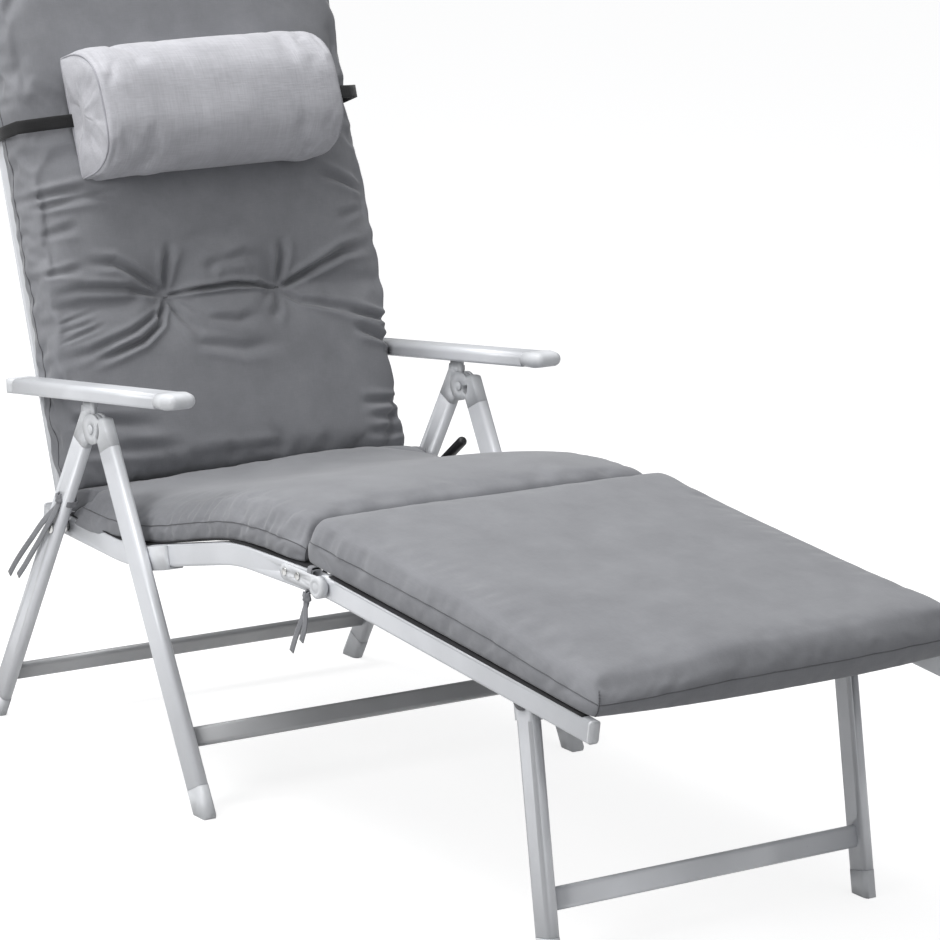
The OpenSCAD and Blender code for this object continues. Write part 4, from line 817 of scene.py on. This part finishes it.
# Folds on the back pad: the line's [x, s] points, its width and its depth, in mm
FOLDS = [
    [[[-77, 278], [24, 283], [107, 273]], 2.6, 6.0], [[[107, 273], [24, 283], [-77, 278]], 2.6, 6.0],
    [[[-80, 282], [-124, 304], [-163, 325], [-217, 329]], 4.6, 7.0],
    [[[-82, 277], [-143, 289], [-220, 295], [-276, 288]], 4.2, 5.5],
    [[[-80, 272], [-105, 237], [-141, 216], [-187, 203], [-240, 190]], 4.0, 8.0],
    [[[-93, 257], [-155, 228], [-222, 207], [-274, 201]], 4.4, 5.0],
    [[[-262, 250], [-190, 266]], 2.4, 1.8], [[[-262, 238], [-200, 250]], 2.0, 1.4],
    [[[-262, 224], [-184, 246]], 2.4, 1.8],
    [[[-270, 318], [-205, 322]], 4.0, 3.2],
    [[[114, 275], [166, 295], [212, 313], [279, 322]], 5.0, 8.5],
    [[[112, 268], [136, 251], [196, 234], [236, 223]], 4.6, 5.0],
    [[[283, 211], [236, 222], [196, 234]], 4.6, 7.5], [[[284, 176], [251, 190], [204, 210]], 4.8, 7.0],
    [[[279, 96], [189, 99]], 4.6, 4.5], [[[279, 75], [205, 77]], 4.4, 3.6],
    [[[278, 52], [190, 56]], 4.6, 3.2],
    [[[-80, 282], [-78, 320], [-70, 352]], 5.5, 6.5], [[[109, 277], [113, 315], [110, 345]], 5.5, 6.5],
    [[[-76, 272], [-62, 240], [-40, 214]], 5.5, 5.0], [[[106, 268], [92, 244], [70, 224]], 5.5, 5.0],
    [[[8, 315], [46, 320], [80, 305]], 6.5, 3.5], [[[8, 315], [-10, 309], [-24, 298]], 6.5, 3.5],
    [[[-32, 238], [19, 230], [71, 239]], 6.0, 3.0], [[[-55, 205], [20, 191], [99, 195]], 7.0, 3.0],
    [[[-272, 424], [-154, 431]], 5.0, 5.0], [[[-262, 410], [-190, 418], [-116, 424]], 5.0, 4.5],
    [[[269, 398], [220, 420], [174, 433]], 5.0, 5.0], [[[-50, 350], [73, 352]], 9.0, 2.2],
    [[[-274, 120], [-120, 96]], 6.5, 3.6], [[[-270, 76], [-80, 66]], 6.0, 3.0],
    [[[60, 52], [-120, 48]], 7.0, 2.4],
    [[[-262, 372], [-200, 380]], 5.0, 2.6], [[[262, 372], [205, 360]], 5.0, 2.6],
]


# The back pad's base over the rails' middle, which is half a rail, the sling and a
# gap, and the pad's thickness, in mm
BACK_BASE = 8 + 2 + 0.3
BACK_THICK = 60
# The pillow's place along the back, and its turn in degrees
PILLOW_S = 530 * MM
PILLOW_TURN = 1.2
# The pad is pinched between the arm rests: how far out they stand, and where the
# pinch starts and ends along the back and how it fades, in mm
ARM_INNER = 317.5 - 44
PINCH_LOW = 92
PINCH_HIGH = 206
PINCH_BLEND = 48


def build_back_pad():
    low, high, base = 22 * MM, 735 * MM, BACK_BASE * MM
    length = high - low
    pinch_x = (ARM_INNER - 0.3) * MM

    def pinch(s):
        low_end = (s - PINCH_LOW * MM) / (PINCH_BLEND * MM)
        high_end = (PINCH_HIGH * MM - s) / (PINCH_BLEND * MM)
        return ease(low_end + 1) * ease(high_end + 1)

    def strap_pull(s):
        return np.exp(-((s - PILLOW_S) / (26 * MM)) ** 2)

    def tuft_pull(x, s):
        dx = np.abs(x - TUFT_MID) - TUFT_X
        spot = np.exp(-(dx ** 2 + (s - TUFT_S) ** 2) / (42 * MM) ** 2)
        line = np.exp(-((s - TUFT_S) / (20 * MM)) ** 2) * np.where(dx < 0, 1, np.exp(-(dx / (84 * MM)) ** 2))
        return 24 * MM * np.maximum(spot, 0.45 * line)

    def shape(u, v, w):
        u = spread(u)
        s = low + length * v
        way = np.sign(u)
        wide = HALF + way * SHIFT
        half = wide - (wide - pinch_x) * pinch(s) - DRAW * (1 - end_round(v, END_SHARE))
        half = half - DRAW * (1 - np.sin(math.pi * w)) * (1 - pinch(s)) - 5 * MM * strap_pull(s) * w
        x = np.abs(u) * half * way + SHIFT * (1 - np.abs(u))
        x = np.where(u == 0, SHIFT, x)
        top = crown(u, v, BACK_THICK * MM, 0.81, 0.66) - soft_edge(u, v, HALF, length)
        top = top - tuft_pull(SHIFT + u * HALF, s) - 2 * MM * strap_pull(s)
        drawn = 4 * MM * np.sin(math.pi * w) - 4 * MM
        end = np.where(v > 0.999, 1.0, 0.0) * drawn
        start = np.where(v < 0.001, 1.0, 0.0) * drawn
        flat = np.stack([x, s + end - start, base + top * w], axis=-1)
        return in_frame(BACK, flat)

    piece, uvw = block("back_cushion", shape, 64, 80, 8)
    outward(piece)
    u, v, w = uvw.T
    s, x = low + length * v, SHIFT + spread(u) * HALF
    near = np.exp(-((np.abs(x - TUFT_MID) - TUFT_X) ** 2 + (s - TUFT_S) ** 2) / (14 * MM) ** 2) * (w > 0.99)
    pins = np.maximum(pad_pins(uvw), near)
    pins = np.maximum(pins, 0.9 * strap_pull(s) * (w > 0.5))
    stuff(piece, pins, 7 * MM, pressure=3.0, spare=0.06)
    refine(piece, 2)
    co, nm = coords(piece.data), normals(piece.data)
    local = out_of_frame(BACK, co)
    out = np.array(BACK)[:3, 2]
    topness = np.clip(nm @ out, 0, 1)
    side = facing(nm, 0)
    move = np.zeros(len(co))
    for line, width, deep in FOLDS:
        move += fold(local[:, :2], line, width, deep)
    move = np.clip(move, -10 * MM, 5 * MM)
    edge = near_edge(local[:, 0], 34 * MM)
    pucker = waves(local * [10.0, 46.0, 10.0], 8) * 1.2 * MM * edge
    sag = waves(local * [6.0, 6.0, 6.0], 9) * 2.2 * MM
    ruche = waves(local * [10.0, 42.0, 14.0], 10) * 1.6 * MM * side
    set_coords(piece.data, co + nm * ((move + pucker + sag) * topness + ruche)[:, None])
    finish_pad(piece, "back_pad", "back", PAD_BACK, shape)
    tree = BVHTree.FromObject(piece, bpy.context.evaluated_depsgraph_get())
    tacks = []
    for side_x in (TUFT_MID - TUFT_X, TUFT_MID + TUFT_X):
        spot = spot_in(BACK, [side_x, TUFT_S, 80 * MM])
        hit = tree.ray_cast(spot, -Vector(out))[0]
        for angle in (0.25, -0.3):
            across = Vector((math.cos(angle), 0, 0)) + Vector(np.array(BACK)[:3, 1]) * math.sin(angle)
            line = []
            for k in range(-4, 5):
                line.append(hit + across * (k * MM) + Vector(out) * ((0.8 - 0.07 * k * k) * MM))
            tacks.append(tube("tack", line, 0.7 * MM, sides=6))
    tack = dress(join("tuft_stitches", tacks), THREAD)
    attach(tack, "back")
    return piece


def turned(points):
    """Points of the pillow on the back, turned since it lies a little askew."""
    a = math.radians(PILLOW_TURN)
    x, s = points[:, 0], points[:, 1] - PILLOW_S
    across = x * math.cos(a) - s * math.sin(a)
    along = PILLOW_S + x * math.sin(a) + s * math.cos(a)
    return np.stack([across, along, points[:, 2]], -1)


# The share of its section that the pillow keeps at its ends
PILLOW_END = 0.93


def build_pillow():
    """The pillow: a D-shaped bolster with flat end panels and welted seams."""
    long, high, deep = 384 * MM, 180 * MM, 92 * MM
    base = (BACK_BASE + BACK_THICK + 1 + 0.6) * MM
    bulge = 1.8 * MM
    around, steps = 96, 64

    def section(a, size):
        c, s = math.cos(a), math.sin(a)
        h, d = high / 2 * size, deep * size
        up = d * max(s, 0) ** 0.8 if s > 0 else -bulge * s * s
        return PILLOW_S + h * math.copysign(abs(c) ** 0.62, c), base + bulge + up

    points, faces, pins = [], [], []
    for i in range(steps + 1):
        v = i / steps
        size = PILLOW_END + 0.07 * float(end_round(np.array(v), 0.16))
        for k in range(around):
            s, z = section(2 * math.pi * k / around, size)
            points.append((long * (v - 0.5), s, z))
            pins.append(1.0 if i in (0, steps) else 0.0)
    for i in range(steps):
        for k in range(around):
            q, r = i * around + k, i * around + (k + 1) % around
            faces.append((q, q + around, r + around, r))
    for i, flip in ((0, False), (steps, True)):
        rings = [list(range(i * around, (i + 1) * around))]
        centre = (PILLOW_S, base + 0.42 * deep)
        for t in (0.8, 0.6, 0.4, 0.2):
            ring = []
            for k in range(around):
                x, s, z = points[i * around + k]
                swell = 5 * MM * (1 - t * t) * (-1 if i == 0 else 1)
                ring.append(len(points))
                points.append((x + swell, centre[0] + (s - centre[0]) * t, centre[1] + (z - centre[1]) * t))
                pins.append(0.0)
            rings.append(ring)
        for a, b in zip(rings, rings[1:]):
            for k in range(around):
                quad = (a[k], a[(k + 1) % around], b[(k + 1) % around], b[k])
                faces.append(quad[::-1] if flip else quad)
        faces.append(tuple(rings[-1][::-1] if flip else rings[-1]))
    piece = mesh_piece("neck_pillow", in_frame(BACK, turned(np.array(points))), faces)
    outward(piece)
    stuff(piece, pins, 5 * MM, pressure=3.0, spare=0.03)
    refine(piece)
    co, nm = coords(piece.data), normals(piece.data)
    local = out_of_frame(BACK, co)
    ends = np.exp(-((long / 2 - np.abs(local[:, 0])) / (40 * MM)) ** 2)
    pucker = waves(local * [12.0, 52.0, 30.0], 11) * 1.0 * MM * ends
    soft = waves(local * [7.0, 12.0, 12.0], 12) * 1.8 * MM
    lift = np.clip((local[:, 2] - base) / (14 * MM), 0, 1)
    set_coords(piece.data, co + nm * ((pucker + soft) * lift)[:, None])
    dress(piece, PILLOW)
    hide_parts("pillow")
    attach(piece, "neck_pillow")
    welts = []
    for v in (0.0, 1.0):
        line = []
        for k in range(around):
            s, z = section(2 * math.pi * k / around, PILLOW_END)
            line.append(Vector(in_frame(BACK, turned(np.array([[long * (v - 0.5), s, z]])))[0]))
        path, _ = settle(piece, line)
        welts.append(tube("welt", path, 1.3 * MM, closed=True, sides=8))
    seam = dress(join("pillow_seams", welts), PILLOW_SEAM)
    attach(seam, "neck_pillow")


# How far the pillow slides down and up from its place
SLIDE = (120 * MM, 50 * MM)


def strap_heights(pad, xs):
    """How high the back cushion stands under the strap at any place it slides to."""
    tree = BVHTree.FromObject(pad, bpy.context.evaluated_depsgraph_get())
    out = Vector(np.array(BACK)[:3, 2])
    heights = []
    for x in xs:
        best = 20 * MM
        for s in np.linspace(PILLOW_S - SLIDE[0], PILLOW_S + SLIDE[1], 10):
            hit = tree.ray_cast(spot_in(BACK, [x, s, 0.13]), -out)[0]
            if hit:
                best = max(best, float(out_of_frame(BACK, np.array([hit]))[0][2]))
        heights.append(best)
    padded = np.array(heights[:1] * 2 + heights + heights[-1:] * 2)
    return np.max([padded[i:i + len(heights)] for i in range(5)], axis=0)


def build_strap(pad):
    """The pillow's elastic: a flat band round the pad and the back rails."""
    gap, thick, wide = 0.9 * MM, 1.2 * MM, 18 * MM
    back_base, half = BACK_BASE * MM, HALF + 4 * MM
    rail, under = (255 + 13) * MM + gap, -8 * MM - gap
    line = [(-rail, under)]
    for t in np.linspace(0.02, 1, 22):
        line.append((-rail + 2 * rail * t, under))
    line += [(rail + 3 * MM, -4 * MM), (SHIFT + half - 3 * MM, back_base - 2 * MM),
             (SHIFT + half, back_base + 18 * MM)]
    across = SHIFT + np.linspace(1, -1, 41) * (half - 4 * MM)
    line += [(x, z + gap) for x, z in zip(across, strap_heights(pad, across))]
    line += [(SHIFT - half, back_base + 18 * MM), (SHIFT - half + 3 * MM, back_base - 2 * MM),
             (-rail - 3 * MM, -4 * MM)]
    path, outs = [], []
    n = len(line)
    for i, (x, z) in enumerate(line):
        s = PILLOW_S + 10 * MM * x / HALF
        path.append(spot_in(BACK, [x, s, z]))
        ax, az = line[(i - 1) % n]
        bx, bz = line[(i + 1) % n]
        out_x, out_z = (bz - az), -(bx - ax)
        size = math.hypot(out_x, out_z)
        outs.append(Vector(np.array(BACK)[:3, :3] @ np.array([out_x / size, 0, out_z / size])))
    piece = strip("strap_band", path, outs, wide, thick, closed=True)
    outward(piece)
    dress(piece, ELASTIC)
    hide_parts("pillow_strap")
    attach(piece, "neck_pillow")


# Ties. Knots and tails in mm: out from the middle on the near side, Y from the
# hinge rod and up from the floor; the points of a tail start at its knot
REAR_KNOT = (306.7, -58, 343)
KNEE_KNOT = (284.7, -606, 338)
TAILS = {
    "rear_tie_tail_long": ("rear_legs", REAR_KNOT, [
        [1.1, 0, -4.05], [1.2, 0, -8], [1.6, 4, -13], [3, 14, -22], [5, 34, -40], [6, 58, -66], [6, 84, -93],
        [5, 104, -114], [4, 120, -133]]),
    "rear_tie_tail_short": ("rear_legs", REAR_KNOT, [
        [2.9, 0, -4.05], [3, 0, -8], [4, 2, -14], [5, 6, -23], [8, 20, -44], [9, 38, -68], [9, 58, -92],
        [8, 76, -112], [8, 91, -128]]),
    "knee_tie_tail_long": ("seat", KNEE_KNOT, [
        [1.1, 0, -4.05], [1.2, 0, -8], [3, 2, -18], [4, 6, -32], [5, 12, -46], [5, 18, -60], [5, 24, -76]]),
    "knee_tie_tail_short": ("seat", KNEE_KNOT, [
        [2.9, 0, -4.05], [3, 0, -8], [5, -3, -18], [6, -5, -30], [7, -4, -43], [7, 1, -57]]),
}
# The tape's width, its thickness, and the gap a tie leaves round its tube in mm
TAPE_W = 9 * MM
TAPE_MM = 1.4
TAPE_T = TAPE_MM * MM
TIE_GAP = 0.3


def on_near_side(knot, point):
    """A point given as [x outside, y, z] from a knot, on the near side."""
    x, y, z = (a + b for a, b in zip(knot, point))
    return Vector((-x * MM, y * MM + CENTRE, z * MM))


def build_tails():
    for name, (body, knot, route) in TAILS.items():
        path = smooth_path([on_near_side(knot, p) for p in route], 4)
        piece = strip(name + "_tape", path, [(-1, 0, 0)] * len(path), TAPE_W, TAPE_T)
        outward(piece)
        dress(piece, TAPE)
        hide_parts(name)
        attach(piece, body)


def rounded_loop(w, h, r, steps=5):
    out = []
    for cx, cy, start in ((w / 2 - r, h / 2 - r, 0), (-w / 2 + r, h / 2 - r, 90),
                          (-w / 2 + r, -h / 2 + r, 180), (w / 2 - r, -h / 2 + r, 270)):
        for k in range(steps + 1):
            a = math.radians(start + 90 * k / steps)
            out.append((cx + r * math.cos(a), cy + r * math.sin(a)))
    return out


def build_knot(spot):
    """A tied knot: three turns of tape wound over each other."""
    turns = []
    for tilt, reach, twist in ((0.3, 7.0, 0.0), (-0.7, 6.2, 0.5), (1.3, 5.6, -0.4)):
        path, outs = [], []
        for k in range(20):
            a = 2 * math.pi * k / 20
            local = Vector((math.cos(a) * 3.0 + 3.4, math.sin(a) * reach, math.sin(2 * a + twist) * 0.8))
            local = Matrix.Rotation(tilt, 3, "X") @ local
            path.append(spot + Vector((-local.x, local.y, local.z)) * MM)
            outs.append(Vector((-math.cos(a), math.sin(a) * 0.8, 0.1)))
        turns.append(strip("turn", path, outs, 5.6 * MM, 1.8 * MM, closed=True))
    return turns


def build_rear_tie():
    """The band round the rear leg, with its knot."""
    wide, tall = (16 + 2 * TIE_GAP + TAPE_MM) * MM, (33 + 2 * TIE_GAP + TAPE_MM) * MM
    up = REAR_KNOT[2] / math.cos(math.radians(REAR_LEG_LEAN)) * MM
    loop = [Vector((-(297 * MM + x), y, up)) for x, y in rounded_loop(wide, tall, 6.5 * MM)]
    path = [spot_in(REAR_LEG, p) for p in loop]
    middle = sum(path, Vector()) / len(path)
    band = strip("band", path, [p - middle for p in path], TAPE_W, TAPE_T, closed=True)
    rear = join("rear_tie_loop", [band] + build_knot(on_near_side(REAR_KNOT, (-1.5, 0, 0))))
    outward(rear)
    dress(rear, TAPE)
    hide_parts("rear_tie")
    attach(rear, "rear_legs")


def build_knee_tie():
    """The band round the knee's end of the rail, with its knot."""
    centre_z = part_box("knee_tie")[1].z - (16.3 + TAPE_MM) * MM
    x_mid, x_out, x_in = -272 * MM, -(280 + 3.7) * MM, -(264 - 3.7) * MM
    line = [(x_mid, 17), (x_out + 3 * MM, 17), (x_out, 14), (x_out, 0), (x_out, -13), (x_out + 3 * MM, -16.6),
            (x_mid, -17), (x_in - 3 * MM, -16.6), (x_in, -13), (x_in, 12)]
    y = KNEE_KNOT[1] * MM + CENTRE
    path = smooth_path([Vector((x, y, centre_z + up * MM)) for x, up in line], 3)
    middle = Vector((x_mid, y, centre_z))
    band = strip("band", path, [p - middle for p in path], TAPE_W, TAPE_T)
    knee = join("knee_tie_loop", [band] + build_knot(on_near_side(KNEE_KNOT, (-1.5, 0, 0))))
    outward(knee)
    dress(knee, TAPE)
    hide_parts("knee_tie")
    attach(knee, "seat")


# Slings
def build_sling(name, cad, body, matrix, x_half, y0, y1, z_of, mat):
    """A stretched sheet with a closed rim, sagging a little between rails."""
    nx, ny, thick = 40, 40, 1.5 * MM
    points, faces = [], []
    for layer in (0, 1):
        for j in range(ny + 1):
            y = y0 + (y1 - y0) * j / ny
            for i in range(nx + 1):
                u = 2 * i / nx - 1
                sag = 3.0 * MM * (1 - min(1, (abs(u) / 0.93) ** 4)) * math.sin(math.pi * j / ny) ** 0.5
                points.append((x_half * u, y, z_of(y) - sag + layer * thick))
    m = (nx + 1) * (ny + 1)
    for j in range(ny):
        for i in range(nx):
            q = j * (nx + 1) + i
            faces.append((q, q + nx + 1, q + nx + 2, q + 1))
            faces.append((m + q, m + q + 1, m + q + nx + 2, m + q + nx + 1))
    rim_line = list(range(nx + 1)) + [(j + 1) * (nx + 1) + nx for j in range(ny)]
    rim_line += [ny * (nx + 1) + nx - 1 - i for i in range(nx)]
    rim_line += [(ny - 1 - j) * (nx + 1) for j in range(ny - 1)]
    for a, b in zip(rim_line, rim_line[1:] + rim_line[:1]):
        faces.append((a, b, m + b, m + a))
    piece = mesh_piece(name, in_frame(matrix, np.array(points)), faces)
    outward(piece)
    dress(piece, mat)
    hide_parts(cad)
    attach(piece, body)


def build_slings():
    co = coords(frame["nodes"]["seat_sling"].data)
    left = co[co[:, 0] > co[:, 0].max() - 1e-4]
    ys = np.unique(np.round(left[:, 1], 5))
    low = np.array([left[np.abs(left[:, 1] - y) < 2e-4, 2].min() for y in ys])
    build_sling("seat_sheet", "seat_sling", "seat", Matrix.Identity(4), co[:, 0].max(), ys[0], ys[-1],
                lambda y: float(np.interp(y, ys, low)) + 0.2 * MM, SLING)
    for name, cad, body, matrix, mat, rails in (
            ("back_sheet", "back_sling", "back", BACK, SLING_BACK, ["back_rail_left", "back_rail_right"]),
            ("leg_sheet", "leg_sling", "leg_rest", LEG, SLING, ["leg_rail_left", "leg_rail_right"])):
        co = out_of_frame(matrix, coords(frame["nodes"][cad].data))
        low_z = co[:, 2].min() + 0.2 * MM
        build_sling(name, cad, body, matrix, co[:, 0].max(), co[:, 1].min(), co[:, 1].max(),
                    lambda y: low_z, mat)


# The stage: the floor glows where the camera or a reflection sees it
FLOOR_GLOW = 0.79


def build_stage():
    corners = [(-9, -9, 0), (9, -9, 0), (9, 9, 0), (-9, 9, 0)]
    floor = mesh_piece("floor", corners, [(0, 1, 2, 3)], smooth=False)
    mat, tree, shader = material("floor")
    rays = tree.nodes.new("ShaderNodeLightPath")
    either = node(tree, "Math", {0: rays.outputs["Is Camera Ray"], 1: rays.outputs["Is Glossy Ray"]},
                  operation="MAXIMUM")
    set_inputs(tree, shader, {
        "Base Color": (0.42, 0.42, 0.42, 1), "Roughness": 0.9, "Specular IOR Level": 0.1,
        "Emission Color": (1, 1, 1, 1),
        "Emission Strength": node(tree, "Math", {0: either, 1: FLOOR_GLOW}, operation="MULTIPLY"),
    })
    floor.data.materials.append(mat)
    world = bpy.data.worlds.new("studio")
    bpy.context.scene.world = world
    world.use_nodes = True
    tree = world.node_tree
    tree.nodes.clear()
    out = tree.nodes.new("ShaderNodeOutputWorld")
    rays = tree.nodes.new("ShaderNodeLightPath")
    fill = node(tree, "Background", {"Color": (0.97, 0.98, 1.0, 1), "Strength": 0.42})
    white = node(tree, "Background", {"Color": (1, 1, 1, 1), "Strength": 1.0})
    mix = node(tree, "MixShader", {0: rays.outputs["Is Camera Ray"], 1: fill, 2: white})
    tree.links.new(mix, out.inputs[0])
    for name, spot, size, power in (
            ("top_lamp", (-0.8, 0.9, 3.4), 2.2, 96), ("near_lamp", (-3.2, -0.6, 2.1), 1.6, 54),
            ("front_lamp", (1.4, -3.6, 2.2), 1.8, 8)):
        data = bpy.data.lights.new(name, "AREA")
        data.shape = "SQUARE"
        data.size = size
        data.energy = power
        lamp = bpy.data.objects.new(name, data)
        bpy.context.scene.collection.objects.link(lamp)
        lamp.location = spot
        lamp.rotation_euler = (Vector((0, 0, 0.45)) - Vector(spot)).to_track_quat("-Z", "Y").to_euler()


build_tails()
build_rear_tie()
build_knee_tie()
build_seat_pad()
build_leg_pad()
build_hinge_fold()
back_cushion = build_back_pad()
build_pillow()
build_strap(back_cushion)
build_slings()
build_stage()
bpy.context.scene.view_settings.view_transform = "Standard"
